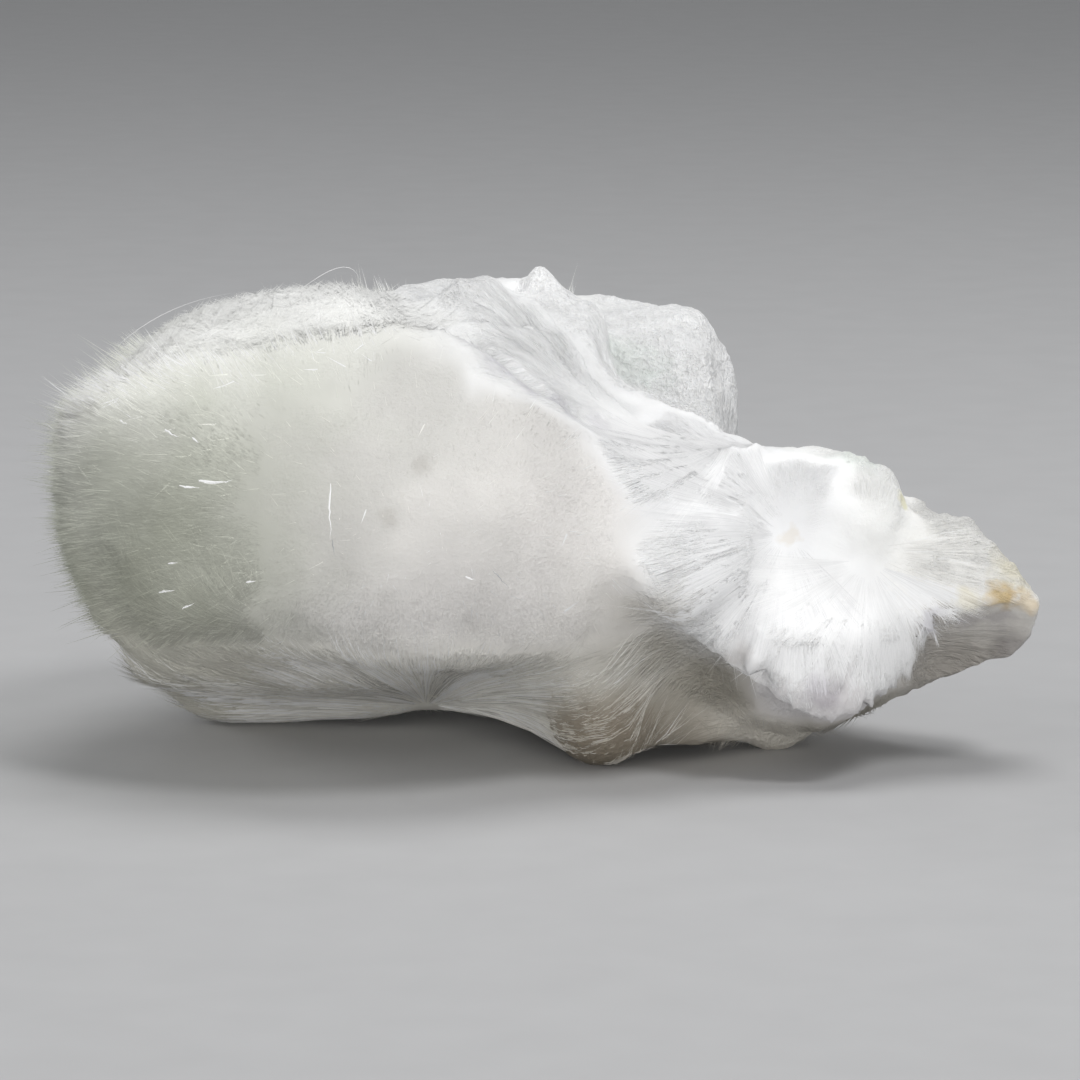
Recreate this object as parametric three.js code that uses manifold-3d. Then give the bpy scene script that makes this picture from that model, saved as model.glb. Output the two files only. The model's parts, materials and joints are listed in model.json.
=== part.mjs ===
// An okenite specimen: a hairy puffball of radiating white needles, broken off its rock together with
// the smaller sprays that grew into it. It grew as one piece, so it is one solid. Millimetres, +Z up;
// X runs along the specimen from the round puff to the pointed end, and -Y is the side the puff bulges to.
import * as THREE from "three";
import { ImprovedNoise } from "three/addons/math/ImprovedNoise.js";
import { mergeVertices } from "three/addons/utils/BufferGeometryUtils.js";
import Module from "manifold-3d";

// Each lump is the soft intersection of walls, and a wall is [the way it faces, a point on it].
// Its needles radiate from the lump's nucleus, and flute is the height of the ridges they make.
// Places are in the layout frame: X from near the middle of the length, Y from the plane of the broken
// front faces, Z from the surface that the specimen rests on.
const LUMPS = [
  {
    name: "puff",
    centre: [-7.5, 1.5, 9.5],
    nucleus: [-5.0, 5.5, 1.2],
    sharpness: 9,
    flute: 0.25,
    walls: [
      [[-0.93, 0, -0.38], [-20.8, 2, 13]],
      [[-0.72, 0, 0.69], [-19.8, 2, 17.3]],
      [[-0.4, 0, 0.92], [-13.5, 2, 18.9]],
      [[0, 0.4, 0.92], [-6, -2, 18.2]],
      [[0, -1, 0.05], [-4, -11.5, 9]],
      [[0, -0.64, 0.77], [-5, -3.6, 17.7]],
      [[-0.6, -0.8, 0], [-15, -7, 10]],
      [[0.72, -0.69, 0.1], [3.2, -6, 10]],
      [[0.6, 0, 0.8], [-1.5, -2, 16.6]],
      [[1, 0.3, 0], [4.5, 5, 9]],
      [[0, -0.86, -0.5], [-4, -10.6, 5.4]],
      [[0, -0.42, -0.91], [-5, 5.5, 0.7]],
      [[0.55, -0.5, -0.7], [1.5, -4, 5]],
      [[-0.7, -0.2, -0.7], [-15.6, 2, 1.0]],
      [[0, 0, -1], [-7, 5, 0.1]],
      [[0, 1, 0.1], [-7, 13, 9]],
      [[-0.6, 0.8, 0], [-17, 9, 10]],
    ],
  },
  {
    name: "rear puff",
    centre: [-8, 9, 9],
    nucleus: [-5, 6.5, 2.5],
    sharpness: 7,
    flute: 0.3,
    walls: [
      [[-0.95, 0.2, -0.3], [-18.2, 9, 11]],
      [[-0.6, 0.75, 0.3], [-14.5, 15, 11]],
      [[0, 0.9, 0.4], [-8, 17.2, 11]],
      [[0.6, 0.75, 0.3], [-1, 15, 11]],
      [[0, 0, 1], [-8, 9, 17.4]],
      [[-0.5, 0, 0.85], [-14, 9, 16.6]],
      [[1, 0, 0], [2, 9, 9]],
      [[0, 0.7, -0.7], [-8, 15, 2.2]],
      [[-0.7, 0.3, -0.6], [-15, 10, 2.2]],
      [[0, 0, -1], [-8, 9, 0.3]],
      [[0, -0.5, -0.86], [-8, 7, 0.6]],
      [[0, -1, 0], [-8, 1.5, 9]],
    ],
  },
  {
    name: "matted ledge",
    centre: [-12, 4.5, 15],
    nucleus: [-5, 6, 8],
    sharpness: 18,
    flute: 0.5,
    walls: [
      [[-0.56, 0, 0.83], [-15.4, 4.5, 17.5]],
      [[-0.12, 0.05, 0.99], [-11.5, 4.5, 18.5]],
      [[0.1, -0.72, 0.68], [-11.5, 0.4, 18.0]],
      [[-0.85, -0.3, 0.3], [-18.2, 4.5, 15.8]],
      [[0, -1, 0], [-12, -1.0, 15]],
      [[-0.8, 0.1, -0.5], [-18.4, 4.5, 14]],
      [[-0.7, 0.7, 0], [-16.4, 8.4, 15]],
      [[0.5, 0.1, 0.85], [-7.5, 4.5, 18.4]],
      [[1, 0, 0], [-5, 4.5, 15]],
      [[0, 0.75, 0.66], [-12, 9, 17.6]],
      [[0, 1, 0], [-12, 12, 14]],
      [[0, 0, -1], [-12, 5, 10]],
    ],
  },
  {
    name: "slab",
    centre: [-4, 6.5, 12.5],
    nucleus: [3.7, 0.5, 14.0],
    sharpness: 20,
    flute: 0.5,
    walls: [
      [[-0.2, 0, 0.98], [-3, 6, 18.5]],
      [[-0.35, -0.1, 0.92], [-10, 6, 18.6]],
      [[0.51, -0.37, 0.775], [0.4, 3.7, 16.7]],
      [[0.85, 0.3, 0.3], [4.6, 5, 14]],
      [[0.1, -0.8, 0.6], [-6, 0.2, 17.2]],
      [[0, -1, 0], [-3, -2.0, 12]],
      [[-1, 0.2, 0.1], [-15.5, 6, 13]],
      [[-0.5, 0.7, 0.5], [-11, 12, 15.5]],
      [[0.2, 0.8, 0.55], [-1, 12, 16.5]],
      [[0, 0, -1], [-3, 6, 6]],
    ],
  },
  {
    name: "back lump",
    centre: [2, 12, 8.5],
    nucleus: [4.5, 11.5, 7.0],
    sharpness: 22,
    flute: 0.45,
    walls: [
      [[0.03, -0.22, 0.97], [3, 12.5, 16.4]],
      [[-0.75, -0.2, 0.65], [-1.2, 12, 17.4]],
      [[0.8, 0, 0.6], [6.9, 13, 15.4]],
      [[1, -0.1, 0.06], [8.1, 12, 11]],
      [[0.75, 0.66, 0], [7.2, 16.0, 9]],
      [[0.1, 0.97, 0.2], [1, 18.2, 9]],
      [[-0.6, 0.75, 0.3], [-3.5, 16, 10]],
      [[-1, 0, 0], [-7, 12, 8]],
      [[0.1, -0.85, 0.5], [3, 7.5, 13]],
      [[0, -1, 0], [3, 6.0, 8]],
      [[0.85, -0.5, 0], [7.6, 8, 9]],
      [[0.6, 0.2, -0.75], [6, 13, 2.5]],
      [[0, 0.6, -0.8], [0, 15.5, 2]],
      [[0, 0, -1], [1, 12, 0.5]],
    ],
  },
  {
    name: "shoulder",
    centre: [3.5, -1.0, 10],
    nucleus: [9.7, -2.0, 9.6],
    sharpness: 14,
    flute: 0.35,
    walls: [
      [[0.1, -0.9, 0.42], [3.4, -5.7, 10.2]],
      [[0.5, -0.75, 0.43], [6.6, -4.2, 10.2]],
      [[-0.6, -0.7, 0.3], [-0.4, -5.6, 10.5]],
      [[0.3, -0.3, 0.9], [3.5, -1, 13.1]],
      [[-0.25, -0.5, -0.83], [3.2, -5.2, 7.0]],
      [[0.6, -0.3, -0.74], [6.4, -3.6, 6.6]],
      [[1, 0, 0], [8.5, 0, 10]],
      [[-1, 0, 0], [-3, 0, 10]],
      [[0, 1, 0], [3.5, 4, 10]],
      [[0, 0, -1], [3.5, 0, 5]],
    ],
  },
  {
    name: "lobe",
    centre: [9, 1.5, 7.5],
    nucleus: [9.7, -2.0, 9.6],
    sharpness: 16,
    flute: 0.55,
    walls: [
      [[0, -0.86, 0.5], [9.7, -2.0, 9.6]],
      [[-0.5, -0.8, 0.33], [4.0, -4.4, 9.0]],
      [[0.45, -0.8, 0.4], [14.0, -2.6, 8.2]],
      [[0.05, 0.2, 1], [8.6, 1, 12.6]],
      [[0.5, 0.1, 0.87], [13.0, 1, 11.5]],
      [[1, 0, 0], [16, 1, 7]],
      [[0.5, 0.85, 0.15], [11.5, 7, 8]],
      [[-0.1, 0.95, 0.3], [6, 9.0, 8]],
      [[-1, 0, 0], [-1, 2, 8]],
      [[-0.48, -0.43, -0.77], [7.6, -5, 4.9]],
      [[0.2, -0.6, -0.8], [11.6, -5, 2.5]],
      [[0.6, -0.3, -0.75], [14.2, -3, 4.0]],
      [[0, 0, -1], [9, 2, 1.2]],
      [[0.4, 0.5, -0.77], [12, 6, 2.8]],
    ],
  },
  {
    name: "tip",
    centre: [14.0, 0.8, 6.8],
    nucleus: [12.9, -2.5, 8.5],
    sharpness: 24,
    flute: 0.3,
    walls: [
      [[0.12, -0.66, 0.75], [16, -1.6, 8.2]],
      [[0.25, -0.76, -0.6], [16, -2.9, 5.0]],
      [[0.67, 0.05, 0.74], [18.0, 0.5, 8.9]],
      [[0.3, 0.15, 0.94], [14.5, 0.8, 10.9]],
      [[0.97, 0, 0.2], [20.3, 0, 6]],
      [[0.75, -0.3, -0.58], [19.6, -0.5, 4.7]],
      [[0.2, 0, -0.98], [16, 1, 3.5]],
      [[0.5, 0.82, 0.25], [15, 4.2, 7]],
      [[-1, 0, 0], [8, 0, 7]],
      [[0.4, 0.7, -0.6], [16, 3.2, 4]],
    ],
  },
  {
    name: "skirt",
    centre: [3, 6, 3.5],
    nucleus: [-5.0, 5.5, 1.2],
    sharpness: 20,
    flute: 0.5,
    walls: [
      [[0, 0, -1], [3, 5, 0.5]],
      [[-0.7, -0.62, -0.35], [-5, 5.5, 1.2]],
      [[0.05, -0.94, -0.33], [2.2, -2.4, 0.4]],
      [[0.46, -0.82, -0.35], [5.8, -0.3, 0.4]],
      [[0.85, -0.2, -0.45], [12.2, 3, 2.4]],
      [[0, 1, -0.3], [2, 14.5, 3]],
      [[-1, 0, -0.2], [-9, 7, 3]],
      [[0.7, 0.7, -0.2], [9, 8, 3]],
      [[0, 0, 1], [3, 5, 8]],
    ],
  },
];

// Rounded bumps: [x, y, z, radius]. The first six are what the specimen rests on.
const BUMPS = [
  [2.3, -0.5, 1.75, 2.1],
  [9.4, 2.2, 1.6, 1.8],
  [-7.0, 6.6, 1.7, 1.9],
  [-11.2, 7.6, 1.9, 2.1],
  [-14.0, 7.2, 2.2, 2.4],
  [3.5, 14.0, 1.9, 2.1],
  [-0.5, 11.0, 16.7, 1.6],
  [-2.9, 6.0, 17.6, 1.5],
  [7.6, 1.2, 11.7, 1.2],
  [11.6, 1.2, 11.4, 1.3],
  [16.0, 0.2, 8.9, 1.2],
  [-15.5, 2.5, 16.0, 1.8],
];

// Rounded hollows of the broken and weathered faces: [x, y, z, radius].
const HOLLOWS = [
  [4.6, 5.8, 17.2, 2.8],
  [-2.0, 20.2, 12.0, 2.6],
  [10.6, 9.6, 8.2, 3.2],
  [-13.6, 17.6, 6.0, 3.0],
  [7.0, -4.4, 0.6, 2.6],
  [15.8, 6.4, 5.0, 2.8],
];

// Needles that stand out of the furry end, spread over the directions from the puff's nucleus.
const NEEDLES = {
  count: 860,
  mostRight: -0.42,
  lowest: 0.05,
  shortestReach: 9,
  radius: 0.18,
  length: 1.5,
  sunk: 0.5,
  sides: 4,
};
const GOLDEN_ANGLE = Math.PI * (3 - Math.sqrt(5));

// Sprays on the broken front: rays that leave a nucleus and run along the surface to a frayed edge,
// past which their tips stand. The nucleus and the edge are [x, z] places as seen from the front.
const SPRAYS = [
  {
    nucleus: [9.7, 9.6],
    edge: [[2.6, 8.9], [3.7, 7.2], [6.1, 5.6], [7.8, 4.3], [9.8, 3.1], [11.4, 2.3]],
    count: 15,
    radius: 0.55,
    from: 0.45,
  },
  {
    nucleus: [12.9, 8.5],
    edge: [[11.4, 2.4], [12.5, 2.6], [13.5, 3.2], [15.1, 4.5], [15.6, 5.7]],
    count: 9,
    radius: 0.55,
    from: 0.45,
  },
];
const RAY_SIDES = 5;
const RAY_THICKEST = 0.72; // how far along its length a ray is at its thickest
const RAY_AIM = 0.85; // how far towards the edge the surface is taken that a ray runs along

const BLEND = 0.9; // width over which neighbouring lumps run into each other
const SWELL = 0.5; // height of the broad swells of the surface
const SWELL_LENGTH = 4.5;
const FLUTE_TURNS = 2.8; // how finely the flutes divide the turn round a nucleus
const BARE = 1.5; // distance from a nucleus at which its flutes begin
const SMOOTHING = 0.06; // how far the surface may move where its triangles are made fewer
const CELL = 0.9; // size of the cells that the surface is worked out on
const LOW = [-23, -14, -1];
const HIGH = [23, 22, 22];

const wasm = await Module();
wasm.setup();
const noise = new ImprovedNoise();
const vector = (xyz) => new THREE.Vector3(...xyz);

const lumps = LUMPS.map(({ centre, nucleus, sharpness, flute, walls }) => {
  const middle = vector(centre);
  return {
    middle,
    sharpness,
    flute,
    nucleus: vector(nucleus),
    walls: walls.map(([facing, on]) => {
      const normal = vector(facing).normalize();
      return { normal, distance: normal.dot(vector(on).sub(middle)) };
    }),
  };
});

// How far a point lies outside a lump, measured along the ray from the lump's centre.
function outsideLump(point, lump) {
  const ray = point.clone().sub(lump.middle);
  const length = ray.length();
  if (length < 1e-6) return -1e3;
  ray.divideScalar(length);
  let crowding = 0;
  for (const { normal, distance } of lump.walls) {
    const facing = normal.dot(ray);
    if (facing > 0) crowding += (facing / distance) ** lump.sharpness;
  }
  return length - crowding ** (-1 / lump.sharpness);
}

const ballOf = ([x, y, z, radius]) => ({ middle: new THREE.Vector3(x, y, z), radius });
const bumps = BUMPS.map(ballOf);
const hollows = HOLLOWS.map(ballOf);
const outsideBall = (point, { middle, radius }) => point.distanceTo(middle) - radius;

// The smaller of two distances, with a soft fillet where they are nearly equal.
function join(a, b) {
  const overlap = Math.max(0, BLEND - Math.abs(a - b)) / BLEND;
  return Math.min(a, b) - (overlap * overlap * BLEND) / 4;
}

// How far a lump's surface stands out at a point, in flutes that fan out from its nucleus.
function flutes(point, { nucleus, flute }) {
  const ray = point.clone().sub(nucleus);
  const growth = Math.min(1, Math.max(0, ray.length() - BARE) / 4);
  ray.normalize().multiplyScalar(FLUTE_TURNS);
  return flute * growth * noise.noise(ray.x + 7.3, ray.y + 1.9, ray.z + 4.1);
}

// The specimen's field: below 0 inside, above 0 outside. Lumps run into each other over the width
// BLEND, and so do their flutes.
function field(point) {
  const outside = lumps.map((lump) => outsideLump(point, lump));
  const least = Math.min(...outside);
  let joined = Infinity;
  let standing = 0;
  let share = 0;
  outside.forEach((distance, i) => {
    joined = join(joined, distance);
    const nearness = Math.max(0, 1 - (distance - least) / BLEND);
    if (nearness > 0) standing += nearness * flutes(point, lumps[i]);
    share += nearness;
  });
  for (const bump of bumps) joined = join(joined, outsideBall(point, bump));
  for (const hollow of hollows) joined = -join(-joined, outsideBall(point, hollow));
  const { x, y, z } = point.clone().divideScalar(SWELL_LENGTH);
  return joined - SWELL * noise.noise(x, y, z) - standing / share;
}

// The twelve edges of a cell, each from a corner along an axis.
const CELL_EDGES = [0, 1, 2].flatMap((axis) =>
  [0, 1, 2, 3].map((turn) => {
    const corner = [0, 0, 0];
    corner[(axis + 1) % 3] = turn & 1;
    corner[(axis + 2) % 3] = turn >> 1;
    return { corner, axis };
  }),
);

// The surface where a field is 0, with one vertex in each cell that the surface passes through and
// one pair of triangles across each grid edge that it cuts.
function skinOf(valueAt, low, high, cell) {
  const counts = low.map((from, axis) => Math.ceil((high[axis] - from) / cell) + 1);
  const strides = [1, counts[0], counts[0] * counts[1]];
  const values = new Float64Array(counts[0] * counts[1] * counts[2]);
  const corner = new THREE.Vector3();
  const place = (i, j, k) => corner.set(low[0] + i * cell, low[1] + j * cell, low[2] + k * cell);
  for (let k = 0; k < counts[2]; k++) {
    for (let j = 0; j < counts[1]; j++) {
      for (let i = 0; i < counts[0]; i++) {
        values[i + j * strides[1] + k * strides[2]] = valueAt(place(i, j, k));
      }
    }
  }

  const vertices = [];
  const vertexOf = new Map();
  const offsetOf = ([i, j, k]) => i + j * strides[1] + k * strides[2];
  for (let k = 0; k < counts[2] - 1; k++) {
    for (let j = 0; j < counts[1] - 1; j++) {
      for (let i = 0; i < counts[0] - 1; i++) {
        const at = offsetOf([i, j, k]);
        const sum = new THREE.Vector3();
        let cuts = 0;
        for (const { corner: from, axis } of CELL_EDGES) {
          const a = values[at + offsetOf(from)];
          const b = values[at + offsetOf(from) + strides[axis]];
          if (a < 0 === b < 0) continue;
          const cut = vector(from);
          cut.setComponent(axis, a / (a - b));
          sum.add(cut);
          cuts++;
        }
        if (!cuts) continue;
        const point = sum.multiplyScalar(cell / cuts).add(place(i, j, k));
        vertexOf.set(at, vertices.length / 3);
        vertices.push(point.x, point.y, point.z);
      }
    }
  }

  const triangles = [];
  for (let axis = 0; axis < 3; axis++) {
    const u = strides[(axis + 1) % 3];
    const v = strides[(axis + 2) % 3];
    for (let at = u + v; at < values.length - strides[axis]; at++) {
      const inside = values[at] < 0;
      if (inside === values[at + strides[axis]] < 0) continue;
      const ring = [at, at - u, at - u - v, at - v].map((cellAt) => vertexOf.get(cellAt));
      if (!inside) ring.reverse();
      triangles.push(ring[0], ring[1], ring[2], ring[0], ring[2], ring[3]);
    }
  }
  const geometry = new THREE.BufferGeometry();
  geometry.setAttribute("position", new THREE.Float32BufferAttribute(vertices, 3));
  geometry.setIndex(triangles);
  return geometry;
}

// Moves each vertex of a skin onto the surface where the field is 0, by no more than a share of a cell.
function settle(geometry, valueAt, most) {
  const positions = geometry.getAttribute("position");
  const point = new THREE.Vector3();
  const slope = new THREE.Vector3();
  const step = most / 4;
  for (let i = 0; i < positions.count; i++) {
    point.fromBufferAttribute(positions, i);
    const value = valueAt(point);
    for (const axis of ["x", "y", "z"]) {
      const beside = point.clone();
      beside[axis] += step;
      slope[axis] = (valueAt(beside) - value) / step;
    }
    const move = Math.min(most, Math.max(-most, value / slope.length()));
    point.addScaledVector(slope.normalize(), -move);
    positions.setXYZ(i, point.x, point.y, point.z);
  }
  return geometry;
}

// A closed geometry as a manifold solid, with only its positions and its shared vertices merged.
function solidOf(geometry) {
  const bare = geometry.clone();
  bare.deleteAttribute("normal");
  bare.deleteAttribute("uv");
  const merged = mergeVertices(bare, 1e-4);
  return new wasm.Manifold(
    new wasm.Mesh({
      numProp: 3,
      vertProperties: merged.getAttribute("position").array,
      triVerts: new Uint32Array(merged.index.array),
    }),
  );
}

function geometryOf(solid) {
  const mesh = solid.getMesh();
  const geometry = new THREE.BufferGeometry();
  geometry.setAttribute("position", new THREE.BufferAttribute(mesh.vertProperties, 3));
  geometry.setIndex(new THREE.BufferAttribute(mesh.triVerts, 1));
  geometry.computeVertexNormals();
  return geometry;
}

// A closed geometry that was made along +Y, stood on a point and turned to run along a direction.
function stand(geometry, foot, along) {
  const turn = new THREE.Quaternion().setFromUnitVectors(new THREE.Vector3(0, 1, 0), along);
  return geometry.applyQuaternion(turn).translate(foot.x, foot.y, foot.z);
}

// Where a straight walk first meets the surface of the specimen.
function meet(from, along) {
  const point = from.clone();
  const side = Math.sign(field(point));
  for (let step = 0; step < 160; step++) {
    const outside = field(point) * side;
    if (outside < 0.02) return point;
    point.addScaledVector(along, Math.max(0.04, 0.5 * outside));
  }
  return point;
}

function needles() {
  const { nucleus } = lumps[0];
  const { count, mostRight, lowest, shortestReach, radius, length, sunk, sides } = NEEDLES;
  const made = [];
  for (let i = 0; i < count; i++) {
    const up = (2 * (i + 0.5)) / count - 1;
    const flat = Math.sqrt(1 - up * up);
    const turn = i * GOLDEN_ANGLE;
    const along = new THREE.Vector3(flat * Math.cos(turn), flat * Math.sin(turn), up);
    if (along.x > mostRight || up < lowest) continue;
    const foot = meet(nucleus, along);
    if (foot.distanceTo(nucleus) < shortestReach) continue;
    const size = 0.8 + 0.9 * Math.abs(noise.noise(i * 1.37, 2.2, 5.1));
    const cone = new THREE.ConeGeometry(radius * size, length * size, sides);
    cone.translate(0, (length * size) / 2 - sunk, 0);
    made.push(stand(cone, foot, along));
  }
  return made;
}

// One spray: each ray is a spindle between two places on the front of the specimen.
function spray({ nucleus, edge, count, radius, from }) {
  const route = new THREE.CatmullRomCurve3(edge.map(([x, z]) => new THREE.Vector3(x, 0, z)));
  const middle = new THREE.Vector3(nucleus[0], 0, nucleus[1]);
  const front = new THREE.Vector3(0, LOW[1], 0);
  const backward = new THREE.Vector3(0, 1, 0);
  const onFront = (end, share) => meet(middle.clone().lerp(end, share).add(front), backward);
  const made = [];
  for (let i = 0; i < count; i++) {
    const end = route.getPointAt(i / (count - 1));
    const start = onFront(end, from);
    const along = onFront(end, RAY_AIM).sub(start);
    const size = 0.85 + 0.5 * noise.noise(i * 1.7, 3.1, nucleus[0]);
    const length = (along.length() * (1 - from)) / (RAY_AIM - from);
    const profile = [
      new THREE.Vector2(0, 0),
      new THREE.Vector2(radius * size, length * RAY_THICKEST),
      new THREE.Vector2(0, length * (0.92 + 0.1 * size)),
    ];
    made.push(stand(new THREE.LatheGeometry(profile, RAY_SIDES), start, along.normalize()));
  }
  return made;
}

function specimenSolid() {
  const skin = settle(skinOf(field, LOW, HIGH, CELL), field, CELL / 3);
  let solid = solidOf(skin).simplify(SMOOTHING);
  for (const spike of [...needles(), ...SPRAYS.flatMap(spray)]) solid = solid.add(solidOf(spike));
  const ground = new THREE.BoxGeometry(80, 80, 10).translate(0, 0, -5);
  return solid.subtract(solidOf(ground));
}

const geometry = geometryOf(specimenSolid());
geometry.computeBoundingBox();
const middle = geometry.boundingBox.getCenter(new THREE.Vector3());

const material = new THREE.MeshStandardMaterial({ color: 0xe9e9e4, roughness: 0.75, metalness: 0 });
const specimen = new THREE.Mesh(geometry, material);
specimen.name = "okenite_cluster";
specimen.position.set(-middle.x, -middle.y, 0);

const part = new THREE.Group();
part.add(specimen);
export default part;
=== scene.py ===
import json
import math

import bpy
import numpy as np
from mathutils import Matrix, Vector, noise
from mathutils.bvhtree import BVHTree

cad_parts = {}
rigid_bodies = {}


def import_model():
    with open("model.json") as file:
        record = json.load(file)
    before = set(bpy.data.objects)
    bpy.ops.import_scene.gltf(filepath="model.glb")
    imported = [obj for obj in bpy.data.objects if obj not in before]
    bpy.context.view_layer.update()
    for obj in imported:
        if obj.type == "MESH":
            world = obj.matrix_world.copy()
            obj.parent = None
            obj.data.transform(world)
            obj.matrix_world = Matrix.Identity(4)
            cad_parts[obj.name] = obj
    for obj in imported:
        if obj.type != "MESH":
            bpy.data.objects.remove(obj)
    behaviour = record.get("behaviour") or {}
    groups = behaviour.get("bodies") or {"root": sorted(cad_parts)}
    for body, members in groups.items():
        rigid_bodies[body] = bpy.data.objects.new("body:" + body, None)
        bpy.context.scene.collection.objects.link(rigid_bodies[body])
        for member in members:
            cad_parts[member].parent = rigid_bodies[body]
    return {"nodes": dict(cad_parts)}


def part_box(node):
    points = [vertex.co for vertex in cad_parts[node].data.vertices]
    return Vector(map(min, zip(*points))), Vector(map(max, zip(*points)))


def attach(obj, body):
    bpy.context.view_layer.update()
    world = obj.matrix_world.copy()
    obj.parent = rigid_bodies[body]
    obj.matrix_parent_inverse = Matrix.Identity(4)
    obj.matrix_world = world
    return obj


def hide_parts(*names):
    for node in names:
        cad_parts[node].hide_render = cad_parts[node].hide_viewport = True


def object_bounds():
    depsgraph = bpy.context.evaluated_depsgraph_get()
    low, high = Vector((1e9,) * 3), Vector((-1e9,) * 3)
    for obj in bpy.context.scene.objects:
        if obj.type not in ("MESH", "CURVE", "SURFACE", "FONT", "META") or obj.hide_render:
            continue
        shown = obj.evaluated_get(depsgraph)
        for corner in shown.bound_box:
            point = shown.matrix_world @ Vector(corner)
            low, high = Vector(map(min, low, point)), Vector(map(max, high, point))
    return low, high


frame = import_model()
CAD_LOW, CAD_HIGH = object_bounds()
MM = 0.001

# Places below are millimetres in the layout of the growth: X from near its middle, Y from the plane
# of its broken front, Z from the surface it rests on. The solid's own box says where that layout is.
POINTED_END_X = 19.95
PUFF_FRONT_Y = -10.48
CLUSTER_LOW, CLUSTER_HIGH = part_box("okenite_cluster")
ORIGIN = np.array([
    CLUSTER_HIGH.x / MM - POINTED_END_X,
    CLUSTER_LOW.y / MM - PUFF_FRONT_Y,
    0.0,
])

SEED = 20260
rng = np.random.default_rng(SEED)

# The places that the fibres radiate from.
PUFF_CORE = (-5.5, 4.5, 8.5)
BULGE_CORE = (-5.0, 2.0, 9.5)
MAT_CORE = (-7, 6, 9)
SLAB_KNOT = (3.7, 0.5, 14.0)
BACK_CORE = (4.5, 11.5, 3.0)
SHOULDER_KNOT = (7.9, 1.6, 12.9)
LOBE_KNOT = (9.6, -1.9, 9.7)
TUFT_KNOT = (12.8, -2.4, 8.7)
TIP_CORE = (12.0, -1.8, 8.6)
TIP_UNDER_CORE = (9.0, -2.0, 6.2)
FAN_KNOT = (-5.2, 5.6, 1.0)
REAR_CORE = (-5.5, 6, 8)


def zone(name, nucleus, depth, color, relief, crumb, *seeds):
    """The stretch of surface nearest to its seeds, with the nucleus that its fibres radiate from.

    depth is how far below the solid's surface the body lies, relief the height of the ridges along the
    fibres, and crumb the height of the small lumps.
    """
    return {"name": name, "nucleus": nucleus, "depth": depth, "color": color, "relief": relief,
            "crumb": crumb, "seeds": seeds}


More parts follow.
